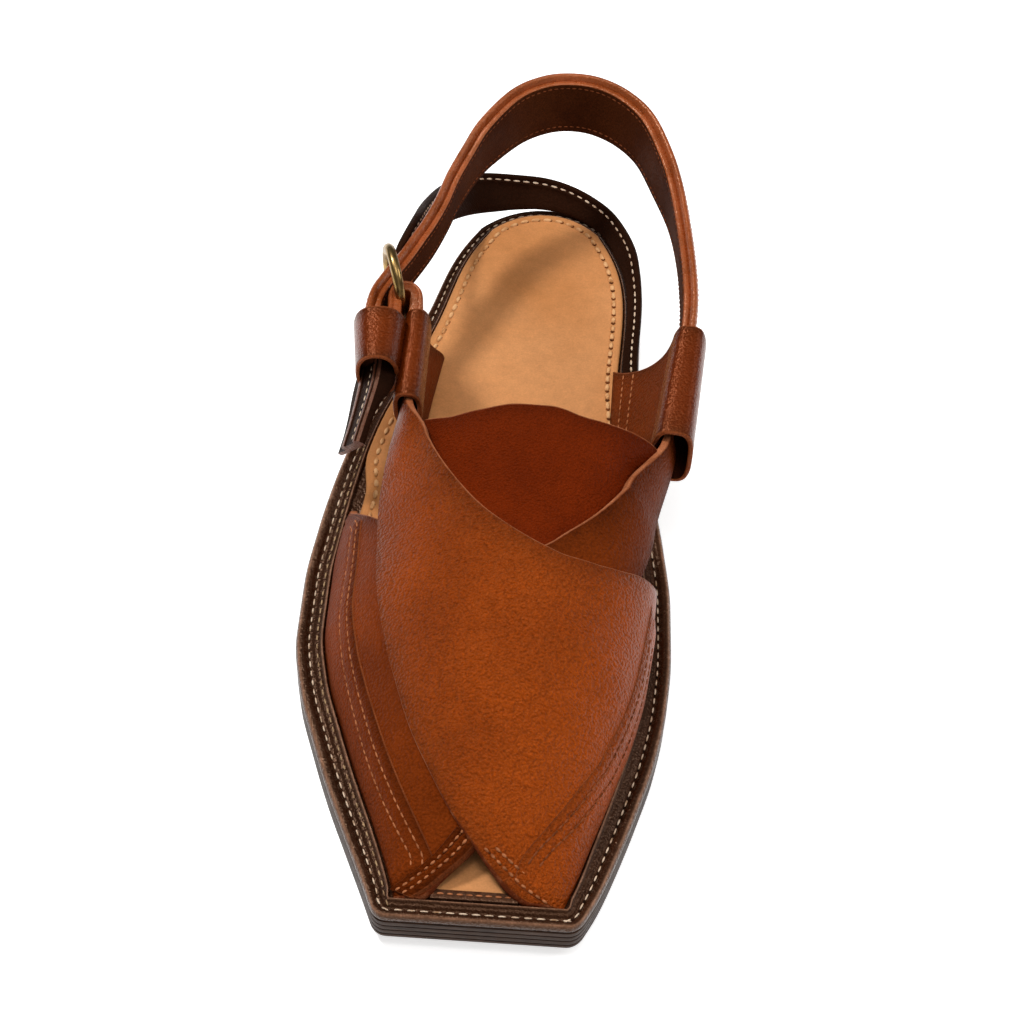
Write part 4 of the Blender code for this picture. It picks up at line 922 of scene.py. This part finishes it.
# The over strap's own front edge is sewn the same way near the toe, with two rows.
HEM_ROWS = [
    [(0.0, -129.6, 0.512), (0.35, -133.2, 0.600), (0.7, -137.4, 0.740), (1.0, -140.0, 0.870)],
    [(0.0, -129.2, 0.560), (0.35, -132.0, 0.640), (0.7, -135.6, 0.780), (1.0, -138.2, 0.930)],
]
lines = []
for rows in HEM_ROWS:
    y, u = (along(table("share y u", rows), "share", k, np.linspace(0, 1, HEM_STATIONS)) for k in "yu")
    lines.append(seam(y, u, -0.15, lift(y, u)))
sewn("over_strap_hem", "", lines, (sewing_thread, painted_hole_shade), HEM_PITCH,
     stitch=(1.7, 0.85, 0.7), hole=(0.55, 0.65, 0.3), seed=15)

# ================================================================ toe binding
# A narrow strip of the rim leather across the front of the footbed, sewn down where the toe is open.
LEFT, RIGHT, BACK, FRONT = -10.6, 12.4, -137.7, -140.8
LOW, HIGH = SHELF_TOP + GAP, insole_top(-138.0) + 0.35


def rounded(loop):
    """A closed loop of places with its corners cut, as a worn edge."""
    loop = np.asarray(loop, float)
    after = np.roll(loop, -1, 0)
    return np.stack([0.78 * loop + 0.22 * after, 0.22 * loop + 0.78 * after], 1).reshape(-1, loop.shape[1])


def lofted(name, rings, materials, wear_and_painted_light, kinds=None):
    """A bar through closed loops of places, with capped ends."""
    count, around = rings.shape[:2]
    last = (count - 1) * around
    faces = strips(count, around) + [list(range(around))[::-1], list(range(last, last + around))]
    return piece(name, rings.reshape(-1, 3), faces, materials, kinds, {"wear_and_painted_light": wear_and_painted_light})


xs = np.linspace(LEFT, RIGHT, 30)
loop = rounded([(FRONT, LOW), (FRONT, HIGH - 0.15), (FRONT + 0.3, HIGH),
                (BACK - 0.3, HIGH), (BACK, HIGH - 0.15), (BACK, LOW)])
rings = np.array([[(x, y, z + sole_height(y)) for y, z in loop] for x in xs])
toe_binding = lofted("toe_binding", rings, [rim_leather], np.full(len(xs) * len(loop), 0.18))
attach(toe_binding, "root")
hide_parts("toe_strip")
row = np.array([(x, (FRONT + BACK) / 2, sole_height(FRONT + 1) + HIGH + 0.02) for x in xs])
stitches("toe_binding_stitches", [(row, UPWARD)], sewing_thread, 2.4, (1.8, 0.6, 0.45),
         seed=17)

# ================================================================ tongue
# A thin red-brown leather flap under both straps, which covers the instep, with a wavy cut top edge.
TONGUE_THICK = 1.8
# Its inner corner is drawn out sideways, to reach the medial sleeve.
TONGUE_FLARE = 7.3
TONGUE = table(
    "across top_y top_u front_y front_u",
    [
        (0.00, 1.0, 0.280, -70.0, 0.430), (0.15, -2.2, 0.360, -73.0, 0.455),
        (0.30, -1.9, 0.420, -75.0, 0.485), (0.45, -0.8, 0.490, -76.0, 0.515),
        (0.60, -0.8, 0.560, -76.0, 0.545), (0.75, -3.0, 0.635, -75.0, 0.575),
        (0.88, -3.4, 0.705, -73.0, 0.690), (1.00, -2.6, 0.790, -70.0, 0.800),
    ],
)


def tongue_grid(inset):
    """One face of the tongue, at `inset` under the upper's surface."""
    down, across = np.linspace(0, 1, 70)[:, None], np.linspace(0, 1, 60)[None]
    y, u = (between(TONGUE, "across", across, "top_" + k, "front_" + k, down) for k in "yu")
    grid = over_foot(y, u, inset).reshape(*y.shape, 3)
    grid[..., 0] += TONGUE_FLARE * ease((across - 0.7) / 0.3) * ease((y + 14) / 12)
    return grid


# Softer leather, dyed oxblood brown and polished: deeper and redder than the straps.
tongue_leather = leather(
    "tongue leather, red-brown, polished", ("#702404", "#5e1c03", "#3e1204"), grain_mm=0.7, broad_mm=26,
    shine=(0.42, 0.56), relief=0.7, wear_and_light_weight=0.6, gloss=0.14, gloss_hex="#ff7c4c", speck_and_grain_light=0.14,
)
tongue = sheet("tongue", tongue_grid(STRAP_THICK + GAP), tongue_grid(STRAP_THICK + GAP + TONGUE_THICK),
               [tongue_leather, cut_edge, dark_lining], edge_mm=5.0)
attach(tongue, "root")
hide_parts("tongue")

# ================================================================ wings with rolled sleeves
# On each side a wing of the strap leather rises from the footbed's edge, and its top is rolled outwards and
# sewn down into a sleeve, which holds the heel strap's end on the inner side and the ring's tab on the outer.
WING_THICK = 1.5
WING_STATIONS, FLAP_COLS, ROLL_COLS = 44, 34, 56
# A sleeve runs from front to rear, and its roll goes from one angle to another round an oval of the sizes
# thick and wide. The flap leaves the footbed along its base, and bulges and sags a little on its way up.
WINGS = {
    "lateral": {
        "front": (-30.3, 14.0, 42.0), "rear": (-29.4, 42.5, 51.0), "thick": (9.0, 8.0), "wide": (20.0, 20.0),
        "base": ((-26.2, 31.0), (-23.0, 59.0)), "bulge": 0.8, "sag": 0.0, "upright": False, "square": 2.8,
        "towards": 1, "from": -35, "to": 312,
    },
    "medial": {
        "front": (49.9, 1.6, 41.5), "rear": (54.0, 36.5, 51.6), "thick": (12.6, 10.6), "wide": (21.0, 23.5),
        "base": ((32.0, 2.0), (33.2, 57.0)), "bulge": -2.0, "sag": 5.0, "upright": True, "square": 3.2,
        "towards": -1, "from": 28, "to": 336,
    },
}

# The strap leather where hands polish it.
handled_leather = leather(
    "bridle leather, cognac, polished by handling", ("#6e2b07", "#5c2005", "#2e1003"), grain_mm=0.7,
    broad_mm=38, shine=(0.21, 0.32), relief=0.25, wear_and_light_weight=0.7, gloss=0.44, gloss_hex="#ff945c", speck_and_grain_light=0.14,
)


def power_of(value, power):
    """A power that keeps the sign, for squarish ovals."""
    return np.sign(value) * np.abs(value) ** power


def thickened(grid, thickness, side=1):
    """The two faces of a sheet from its middle surface, and its outward directions."""
    out = unit(np.cross(np.gradient(grid, axis=0), np.gradient(grid, axis=1))) * side
    return grid + out * thickness / 2, grid - out * thickness / 2, out


def roll(sleeve, wall, stations, cols):
    """The middle of a rolled sleeve's wall, one row of places a station."""
    front, rear = np.array(sleeve["front"]), np.array(sleeve["rear"])
    run = unit(rear - front)
    up = UPWARD if sleeve["upright"] else unit(UPWARD - run * run[2])
    across = unit(np.cross(run, up))
    t = np.linspace(0, 1, stations)[:, None]
    thick, wide = (sleeve[k][0] + (sleeve[k][1] - sleeve[k][0]) * t for k in ("thick", "wide"))
    angle = np.radians(np.linspace(sleeve["from"], sleeve["to"], cols))[None]
    power = 2 / sleeve["square"]
    out = sleeve["towards"] * (thick - wall) / 2 * power_of(np.cos(angle), power)
    high = (wide - wall) / 2 * power_of(np.sin(angle), power)
    centre = front * (1 - t) + rear * t
    return centre[:, None] + across * out[..., None] + up * high[..., None]


for side, wing in WINGS.items():
    sleeve = roll(wing, WING_THICK, WING_STATIONS, ROLL_COLS)
    share = np.linspace(0, 1, WING_STATIONS)[:, None]
    low = np.array(wing["base"][0]) * (1 - share) + np.array(wing["base"][1]) * share
    low = np.column_stack([low, sole_height(low[:, 1]) + INSOLE_TOP + GAP])
    top = sleeve[:, 0]
    reach = np.linalg.norm(top - low, axis=1, keepdims=True)
    flow = unit(sleeve[:, 1] - sleeve[:, 0])
    bulge, sag = np.full(WING_STATIONS, 1.6 * wing["bulge"]), wing["sag"] * share
    first = low + (top - low) / 3 + np.column_stack([bulge, -1.6 * sag, 0 * share])
    second = top - flow * reach * 0.28 - np.column_stack([0 * share, sag, 0 * share])
    t = np.linspace(0, 1, FLAP_COLS + 1)[None, :-1, None]
    flap = ((1 - t) ** 3 * low[:, None] + 3 * t * (1 - t) ** 2 * first[:, None]
            + 3 * t**2 * (1 - t) * second[:, None] + t**3 * top[:, None])
    grid = np.concatenate([flap, sleeve], 1)
    outer, inner, out = thickened(grid, WING_THICK, wing["towards"])
    made = sheet(side + "_wing", outer, inner, [handled_leather, dyed_edge, dark_lining, shaded_flank_leather],
                 edge_mm=3.5)
    # Hands polish the roll, and the flap below it stays matt, in the darker leather whose colour is painted
    # shade.
    face_cols = grid.shape[1] - 1
    for face in made.data.polygons[: (WING_STATIONS - 1) * face_cols]:
        if face.index % face_cols < FLAP_COLS - 3:
            face.material_index = 3
    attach(made, "root")
    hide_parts("quarter_" + side)

# Two rows of stitches along the foot of the medial wing, the last one made, hold it to the footbed's edge.
lines = [(outer[2:-2, col] + out[2:-2, col] * 0.05, out[2:-2, col]) for col in (8, 13)]
sewn("medial_wing", "", lines, (sewing_thread, painted_hole_shade), 2.6,
     stitch=(2.0, 0.7, 0.45), hole=(0.6, 0.65, 0.25), seed=21)

# ================================================================ heel binding
# A band of the rim leather with a rolled top edge. It is sewn on the footbed's medial rim, stands up round
# the back of the heel and climbs outside the heel strap to the ring.
HEEL_BAND = table(
    "low_x low_y low_z top_x top_y top_z",
    [
        (35.6, 52.0, 22.5, 40.8, 52.0, 22.5), (35.6, 66.0, 22.6, 40.6, 66.0, 22.6),
        (36.4, 82.0, 22.8, 41.3, 82.0, 22.8), (36.4, 94.0, 22.9, 41.4, 94.2, 23.2),
        (35.2, 104.0, 23.1, 40.4, 105.4, 25.4), (32.8, 112.0, 23.2, 38.4, 114.4, 28.0),
        (29.4, 121.5, 23.3, 34.2, 124.4, 29.2), (24.0, 129.6, 23.4, 28.2, 133.4, 30.0),
        (15.6, 135.6, 23.4, 17.8, 141.6, 30.8), (6.0, 138.0, 23.4, 6.8, 145.8, 31.2),
        (-3.0, 137.2, 23.4, -5.6, 146.0, 31.8), (-9.4, 133.6, 25.0, -14.6, 143.4, 33.6),
        (-14.6, 128.2, 28.2, -21.0, 137.6, 36.8), (-19.4, 120.0, 33.2, -26.2, 128.2, 41.2),
        (-23.6, 110.5, 38.4, -30.0, 117.4, 45.8), (-28.4, 97.5, 44.4, -32.8, 102.6, 52.0),
        (-32.2, 84.0, 49.6, -34.2, 86.4, 58.8), (-36.3, 71.0, 52.6, -37.2, 71.4, 60.4),
        (-38.2, 66.4, 52.6, -38.8, 66.6, 57.6),
    ],
)
# The section (towards the foot, which end, up from that end): a flat band, a rib below the stitches and a
# rolled top edge. Where the band still lies flat on the rim, its first column points up.
BAND_SECTION = [
    (-0.8, -1, 0.4), (-0.5, -1, 0.0), (0.5, -1, 0.0), (0.8, -1, 0.4), (0.8, 1, -3.6), (1.15, 1, -3.2),
    (0.85, 1, -2.8), (0.75, 1, -1.9), (1.2, 1, -1.4), (1.25, 1, -0.6), (0.7, 1, 0.0), (-0.7, 1, 0.0),
    (-1.2, 1, -0.6), (-1.15, 1, -1.6), (-0.8, 1, -2.2),
]


def smoothed(rows, count):
    """A table's rows on the rounded curve through them, evenly spaced along its length. The first three
    columns are the places."""
    points = np.stack(list(rows.values()), 1)
    fine = []
    for i in range(len(points) - 1):
        p0, p1 = points[max(i - 1, 0)], points[i]
        p2, p3 = points[i + 1], points[min(i + 2, len(points) - 1)]
        for t in np.arange(12) / 12:
            fine.append(0.5 * (2 * p1 + (p2 - p0) * t + (2 * p0 - 5 * p1 + 4 * p2 - p3) * t**2
                               + (3 * p1 - p0 - 3 * p2 + p3) * t**3))
    fine = np.array(fine + [points[-1]])
    run = np.concatenate([[0.0], np.linalg.norm(np.diff(fine[:, :3], axis=0), axis=1).cumsum()])
    at = np.linspace(0, run[-1], count)
    return {k: np.interp(at, run, fine[:, i]) for i, k in enumerate(rows)}


def swept(name, places, across, width, shape, materials, kinds=None, edge=0.0):
    """A strap swept along a route. `shape` gives places through its thickness and up its width, one loop for
    each station, and within about 2 mm of its long edges the strap takes its materials' edge colours by the
    share `edge`."""
    rings = places[:, None] + across[:, None] * shape[..., :1] + width[:, None] * shape[..., 1:]
    if kinds is not None:
        kinds = list(kinds) * (len(places) - 1) + [1, 1]
    half = np.abs(shape[..., 1]).max(1, keepdims=True)
    wear_and_painted_light = np.exp(-(half - np.abs(shape[..., 1])) / 2.0) * edge
    return lofted(name, rings, materials, wear_and_painted_light, kinds)


band = smoothed(HEEL_BAND, 170)
low, top = (np.stack([band[end + k] for k in "xyz"], 1) for end in ("low_", "top_"))
middle, width = (low + top) / 2, unit(top - low)
inward = unit(np.cross(width, np.gradient(middle, axis=0)))
half = np.linalg.norm(top - low, axis=1) / 2
shape = np.array([rounded([(a, end * h + more) for a, end, more in BAND_SECTION]) for h in half])
heel_binding = swept("heel_binding", middle, inward, width, shape, [shaded_rim_leather])
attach(heel_binding, "root")
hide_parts("heel_band")
# The row lies on the face towards the foot, 2.35 mm from the top edge.
row = middle + inward * 0.82 + width * (half - 2.35)[:, None]
stitches("heel_binding_stitches", [(row, inward)], cream_thread, 3.3, (2.3, 0.65, 0.45),
         seed=23)

# ================================================================ heel strap
# The sling strap: two layers of strap leather, the outer one with a turned top edge that stands above the
# inner one. It leaves the medial sleeve, goes round the heel, passes the ring and ends in the keeper.
HEEL_STRAP = table(
    "x y z lean wide",
    [
        (-42.5, 24.5, 50.6, 0, 12.5), (-42.6, 31.0, 52.5, 0, 12.5), (-43.2, 38.0, 54.4, 0, 12.5),
        (-42.4, 46.0, 55.4, 0, 12.8), (-39.8, 54.0, 55.0, 1, 13.0), (-34.9, 66.0, 54.5, 3, 13.0),
        (-31.2, 75.0, 55.1, 5, 13.0), (-28.5, 82.2, 55.7, 3, 13.3), (-25.7, 91.0, 56.8, 0, 14.4),
        (-22.8, 101.5, 58.5, -1, 16.0), (-18.3, 112.5, 61.0, -2, 17.6), (-13.0, 121.2, 64.0, 0, 19.6),
        (-4.2, 131.0, 67.2, 3, 20.8), (4.5, 135.8, 69.0, 4, 21.0), (13.0, 137.3, 69.7, 4, 21.0),
        (22.0, 136.6, 69.2, 4, 21.0), (31.0, 132.6, 67.6, 3, 21.0), (38.6, 125.0, 65.4, 2, 21.0),
        (44.6, 112.0, 62.2, 1, 21.0), (49.4, 97.0, 59.2, -4, 21.0), (52.2, 80.0, 56.8, -5, 21.0),
        (53.6, 63.0, 55.2, -3, 21.0), (53.8, 50.0, 54.0, 0, 19.4), (53.3, 39.0, 52.0, 0, 16.6),
        (52.8, 30.0, 49.4, 0, 15.0),
    ],
)
# The section (outwards, which edge, up from that edge): the inner layer is 2 mm lower than the outer one's
# rolled top, and a groove runs between them.
STRAP_SECTION = [
    (-2.1, -1, 0.8), (-1.5, -1, 0.3), (-0.25, -1, 0.2), (-0.05, -1, 0.5), (0.15, -1, 0.1), (1.8, -1, 0.0),
    (2.4, -1, 0.6), (2.35, -1, 1.7), (2.55, -1, 2.4), (2.55, 1, -2.6), (2.35, 1, -2.0), (2.4, 1, -1.2),
    (1.9, 1, -0.3), (1.1, 1, 0.0), (0.3, 1, -0.6), (0.0, 1, -2.6), (-0.4, 1, -2.0), (-1.5, 1, -2.0),
    (-2.1, 1, -2.6), (-2.1, 1, -3.4), (-1.95, 1, -3.8), (-2.1, 1, -4.2),
]
# Turned and polished edges, rubbed every day by hand and trouser leg: glossier than the face, and lighter,
# partly from the rubbing and partly as a painted highlight along the heel strap's top and the tab's edge.
polished_edge_with_highlight = leather(
    "bridle leather, turned edge, hand polished", ("#a8542a", "#8f441a", "#4e1f0a"), grain_mm=0.7,
    broad_mm=12, shine=(0.22, 0.34), relief=0.25, wear_and_light_weight=0.4, gloss=0.8, gloss_hex="#ffc8a4", speck_and_grain_light=0.12,
)


def route(rows, count):
    """Places, directions through the thickness and up the width, and all columns, along a strap's route. The
    first direction points away from the foot where the route runs back along the lateral side."""
    at = smoothed(rows, count)
    places = np.stack([at[k] for k in "xyz"], 1)
    run = unit(np.gradient(places, axis=0))
    aside = unit(np.stack([-run[:, 1], run[:, 0], 0 * run[:, 0]], 1))
    upward = unit(UPWARD - run * run[:, 2:])
    lean = np.radians(at["lean"])[:, None]
    width = upward * np.cos(lean) + aside * np.sin(lean)
    return places, unit(np.cross(width, run)), width, at


places, outward, width, at = route(HEEL_STRAP, 260)
half = at["wide"] / 2
shape = np.array([rounded([(a, end * h + more) for a, end, more in STRAP_SECTION]) for h in half])
middles = (shape[0] + np.roll(shape[0], -1, 0)) / 2
kinds = [1 if a < -1.9 else 2 if b > half[0] - 2.4 else 0 for a, b in middles]
heel_strap = swept("heel_strap", places, outward, width, shape, [strap_leather, dark_lining, polished_edge_with_highlight],
                   kinds, edge=0.5)
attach(heel_strap, "root")
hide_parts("heel_strap")
# One row runs near each edge of both layers, but not where the ends are inside the sleeve and the keeper.
half = half[:, None]
in_sight = slice(14, 250)
lines = [
    ((places - outward * 2.02 + width * (half - 3.8))[in_sight], -outward[in_sight]),
    ((places - outward * 2.1 - width * (half - 2.6))[in_sight], -outward[in_sight]),
]
stitches("heel_strap_inner_stitches", lines, dark_thread, 2.0, (1.45, 0.45, 0.3), seed=25)
lines = [((places + outward * 2.42 + width * end * (half - 1.9))[in_sight], outward[in_sight])
         for end in (1, -1)]
stitches("heel_strap_outer_stitches", lines, sewing_thread, 2.0, (1.5, 0.45, 0.3), seed=26)

# ================================================================ ring and its tab
# The fastener: an oval ring of cast brass wire, gone brown with handling, held by a thick tab of strap
# leather that is folded through it and runs forward into the lateral sleeve.
RING_TAB = table(
    "x y z lean",
    [
        (-38.0, 25.0, 51.6, 0), (-37.7, 33.0, 53.6, 0), (-37.6, 41.0, 54.6, 0), (-37.9, 45.5, 54.8, 0),
        (-37.0, 49.6, 55.0, 0), (-34.6, 50.9, 55.0, 0), (-32.2, 50.6, 54.6, 0), (-30.4, 49.0, 54.0, 0),
        (-29.5, 46.0, 53.0, 0), (-29.4, 41.0, 51.0, 0), (-29.6, 34.0, 48.6, 0),
    ],
)
TAB_SECTION = [
    (-3.2, -5.4), (-2.8, -6.0), (0.6, -6.0), (1.1, -5.4), (1.2, -3.0), (1.2, 3.0), (1.1, 5.4), (0.5, 6.2),
    (-0.2, 6.1), (-0.5, 5.6), (-0.8, 6.0), (-2.8, 5.9), (-3.2, 5.2),
]
places, outward, width, _ = route(RING_TAB, 90)
shape = rounded(TAB_SECTION)
middles = (shape + np.roll(shape, -1, 0)) / 2
ring_tab = swept("ring_tab", places, outward, width, np.repeat(shape[None], len(places), 0),
                 [handled_leather, polished_edge_with_highlight], [int(b > 4.6) for a, b in middles], edge=0.5)
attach(ring_tab, "root")
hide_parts("ring_loop")

# Cast brass, tumbled and aged: warm olive gold, with browner and rougher patches of tarnish spread at random.
brass, tree, shader = new_material("cast brass, aged by handling")
place = add(tree, "ShaderNodeTexCoord").outputs["Object"]
tarnish = add(tree, "ShaderNodeTexNoise",
              {"Vector": place, "Scale": 260.0, "Detail": 5.0, "Roughness": 0.6}).outputs["Fac"]
scratch = add(tree, "ShaderNodeTexNoise", {"Vector": place, "Scale": 1500.0, "Detail": 3.0}).outputs["Fac"]
brown = add(tree, "ShaderNodeMapRange", {"Value": tarnish, "From Min": 0.35, "From Max": 0.68})
colour = add(tree, "ShaderNodeMix",
             {"Factor": brown.outputs[0], "A": linear("#a88a55"), "B": linear("#6a5030")}, data_type="RGBA")
rough = add(tree, "ShaderNodeMapRange", {"Value": tarnish, "To Min": 0.16, "To Max": 0.44})
bump = add(tree, "ShaderNodeBump", {"Height": scratch, "Strength": 0.12, "Distance": 0.0001})
feed(tree, shader, {"Base Color": colour.outputs["Result"], "Roughness": rough.outputs["Result"],
                    "Normal": bump.outputs["Normal"], "Metallic": 1.0})

RING_CENTRE, RING_ALONG, RING_UP = (-38.0, 54.9, 56.4), (-0.29, 0.90, 0.32), (0.03, -0.33, 0.94)
RING_LENGTH, RING_WIDTH, RING_WIRE = 24.6, 28.0, 3.2
RING_SQUARE = 2.1  # 2 would be a plain ellipse
RING_STEPS, WIRE_STEPS = 112, 20
run = unit(np.array(RING_ALONG))
up = unit(np.array(RING_UP) - run * np.dot(RING_UP, run))
radius = RING_WIRE / 2
angle = np.linspace(0, 2 * math.pi, RING_STEPS, endpoint=False)[:, None]
path = (np.array(RING_CENTRE)
        + run * (RING_LENGTH / 2 - radius) * power_of(np.cos(angle), 2 / RING_SQUARE)
        + up * (RING_WIDTH / 2 - radius) * power_of(np.sin(angle), 2 / RING_SQUARE))
normal = np.cross(run, up)
aside = np.cross(unit(np.roll(path, -1, 0) - np.roll(path, 1, 0)), normal)
turn = np.linspace(0, 2 * math.pi, WIRE_STEPS, endpoint=False)[None, :, None]
rings = path[:, None] + (aside[:, None] * np.cos(turn) + normal * np.sin(turn)) * radius
faces = strips(RING_STEPS, WIRE_STEPS)
last = (RING_STEPS - 1) * WIRE_STEPS
for i in range(WIRE_STEPS):
    after = (i + 1) % WIRE_STEPS
    faces.append((last + i, last + after, after, i))
ring = piece("ring", rings.reshape(-1, 3), faces, [brass])
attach(ring, "root")
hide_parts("ring")

# ================================================================ keeper
# A loop of strap leather round the doubled strap in front of the ring, which holds it against the sleeve. Its
# ends overlap on the hidden side and are glued and sewn.
KEEPER_THICK = 1.3
KEEPER = {
    "front": (-40.0, 20.0, 50.0), "rear": (-40.6, 36.5, 55.0), "thick": (13.2, 16.4), "wide": (22.6, 23.6),
    "upright": False, "square": 2.4, "towards": 1, "from": -78, "to": 300,
}
outer, inner, _ = thickened(roll(KEEPER, KEEPER_THICK, stations=30, cols=90), KEEPER_THICK)
keeper = sheet("keeper", outer, inner, [handled_leather, dyed_edge, dark_lining], edge_mm=2.5)
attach(keeper, "root")
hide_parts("keeper")

# ================================================================ strap end
# The free end of the heel strap's dark lining, which comes out of the keeper: two layers of the rim leather,
# the upper one narrower, sewn together with cream thread and cut off.
STRAP_TIP = table(
    "x y z lean",
    [(-41.2, 23.4, 50.5, 34), (-41.9, 15.0, 48.0, 36), (-43.4, 6.0, 44.8, 34), (-45.2, -2.2, 41.2, 34)],
)
# The section (towards the foot, up, finish), where finish 1 is a turned edge that is rubbed.
TIP_SECTION = [
    (1.6, 5.3, 0), (1.0, 5.75, 0), (-0.5, 5.8, 1), (-1.0, 5.6, 1), (-1.25, 5.0, 0), (-1.75, 4.7, 1),
    (-2.0, 4.1, 1), (-1.9, 3.4, 1), (-1.3, 3.0, 0), (-1.15, 2.4, 0), (-1.15, -2.9, 0), (-1.6, -3.3, 1),
    (-1.8, -4.2, 1), (-1.6, -5.3, 1), (-1.0, -5.75, 0), (0.2, -5.8, 0), (0.1, -7.0, 0), (0.0, -10.6, 0),
    (0.0, -11.2, 1), (0.5, -11.5, 1), (1.3, -11.3, 0), (1.6, -10.5, 0),
]
tip_edge = leather(
    "rim leather, turned edge, rubbed", ("#6d4030", "#57301f", "#8a5c48"), grain_mm=0.8, broad_mm=12,
    shine=(0.28, 0.42), relief=0.35, wear_and_light_weight=0.6, gloss=0.5, gloss_hex="#f2cdb4", speck_and_grain_light=0.12,
)
places, inward, width, _ = route(STRAP_TIP, 70)
kinds = np.repeat([kind for a, b, kind in TIP_SECTION], 2)
shape = np.repeat(rounded([(a, b) for a, b, kind in TIP_SECTION])[None], len(places), 0)
# It is doubled on its hidden side as far as the keeper's mouth.
doubled = 1 + 2.4 * (1 - ease((np.linspace(0, 1, len(places)) - 0.18) / 0.45))[:, None]
shape[..., 0] = np.where(shape[..., 0] > 0.6, shape[..., 0] * doubled, shape[..., 0])
strap_end = swept("strap_end", places, inward, width, shape, [shaded_rim_leather, tip_edge], kinds, edge=1.0)
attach(strap_end, "root")
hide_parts("strap_tip")
in_sight = slice(4, -6)
row = places - inward * 1.15 + width * 0.6
stitches("strap_end_stitches", [(row[in_sight], -inward[in_sight])], cream_thread, 2.6,
         (1.8, 0.55, 0.45), seed=27)

# ================================================================ floor, light and camera
# A plain pale studio floor in a pale room, with five soft lamps: the brightest stands above the outer side,
# two hang overhead, and two weaker ones fill from the front and glance along the inner side.
floor_mesh = bpy.data.meshes.new("floor")
floor_mesh.from_pydata([(-4, -4, 0), (4, -4, 0), (4, 4, 0), (-4, 4, 0)], [], [(0, 1, 2, 3)])
floor = bpy.data.objects.new("floor", floor_mesh)
bpy.context.scene.collection.objects.link(floor)
paper, tree, shader = new_material("matt white studio paper")
place = add(tree, "ShaderNodeTexCoord").outputs["Object"]
fibre = add(tree, "ShaderNodeTexNoise", {"Vector": place, "Scale": 900.0, "Detail": 2.0}).outputs["Fac"]
colour = add(tree, "ShaderNodeMix", {"Factor": fibre, "A": linear("#f4f3f1"), "B": linear("#fbfbfa")},
             data_type="RGBA")
feed(tree, shader, {"Base Color": colour.outputs["Result"], "Roughness": 0.9,
                    "Emission Color": (1.0, 1.0, 1.0, 1.0), "Emission Strength": 0.64})
floor_mesh.materials.append(paper)

world = bpy.data.worlds.new("pale room")
world.use_nodes = True
feed(world.node_tree, world.node_tree.nodes["Background"], {"Color": linear("#ffffff"), "Strength": 0.15})
bpy.context.scene.world = world
bpy.context.scene.view_settings.view_transform = "Standard"


def lamp(name, place, aim, size, watts):
    """A soft white lamp, all in metres and watts."""
    light = bpy.data.lights.new(name, "AREA")
    light.shape, light.size, light.energy = "DISK", size, watts
    holder = bpy.data.objects.new(name, light)
    holder.location = place
    holder.rotation_euler = (Vector(aim) - Vector(place)).to_track_quat("-Z", "Y").to_euler()
    bpy.context.scene.collection.objects.link(holder)


lamp("softbox at the outer side", (-0.66, 0.30, 1.16), (0.0, 0.0, 0.03), 0.24, 10)
lamp("ceiling panel", (0.1, -0.15, 1.5), (0.0, 0.0, 0.03), 1.4, 6.5)
lamp("small overhead lamp", (-0.02, -0.22, 1.25), (0.0, -0.08, 0.03), 0.3, 1.8)
lamp("fill from the front", (0.5, -1.2, 0.7), (0.0, 0.0, 0.03), 1.0, 1.5)
lamp("glancing lamp at the inner side", (0.95, 0.15, 0.75), (0.0, 0.0, 0.05), 0.5, 3)

camera = bpy.data.cameras.new("camera")
camera.sensor_width, camera.lens = 36.0, 73.83
holder = bpy.data.objects.new("camera", camera)
stand, target = Vector((0.01055, -0.44400, 0.48506)), Vector((0.00249, -0.00953, 0.025))
CAMERA_ROLL = math.radians(2.875)
turned = (target - stand).to_track_quat("-Z", "Y").to_matrix() @ Matrix.Rotation(CAMERA_ROLL, 3, "Z")
holder.matrix_world = Matrix.Translation(stand) @ turned.to_4x4()
bpy.context.scene.collection.objects.link(holder)
bpy.context.scene.camera = holder
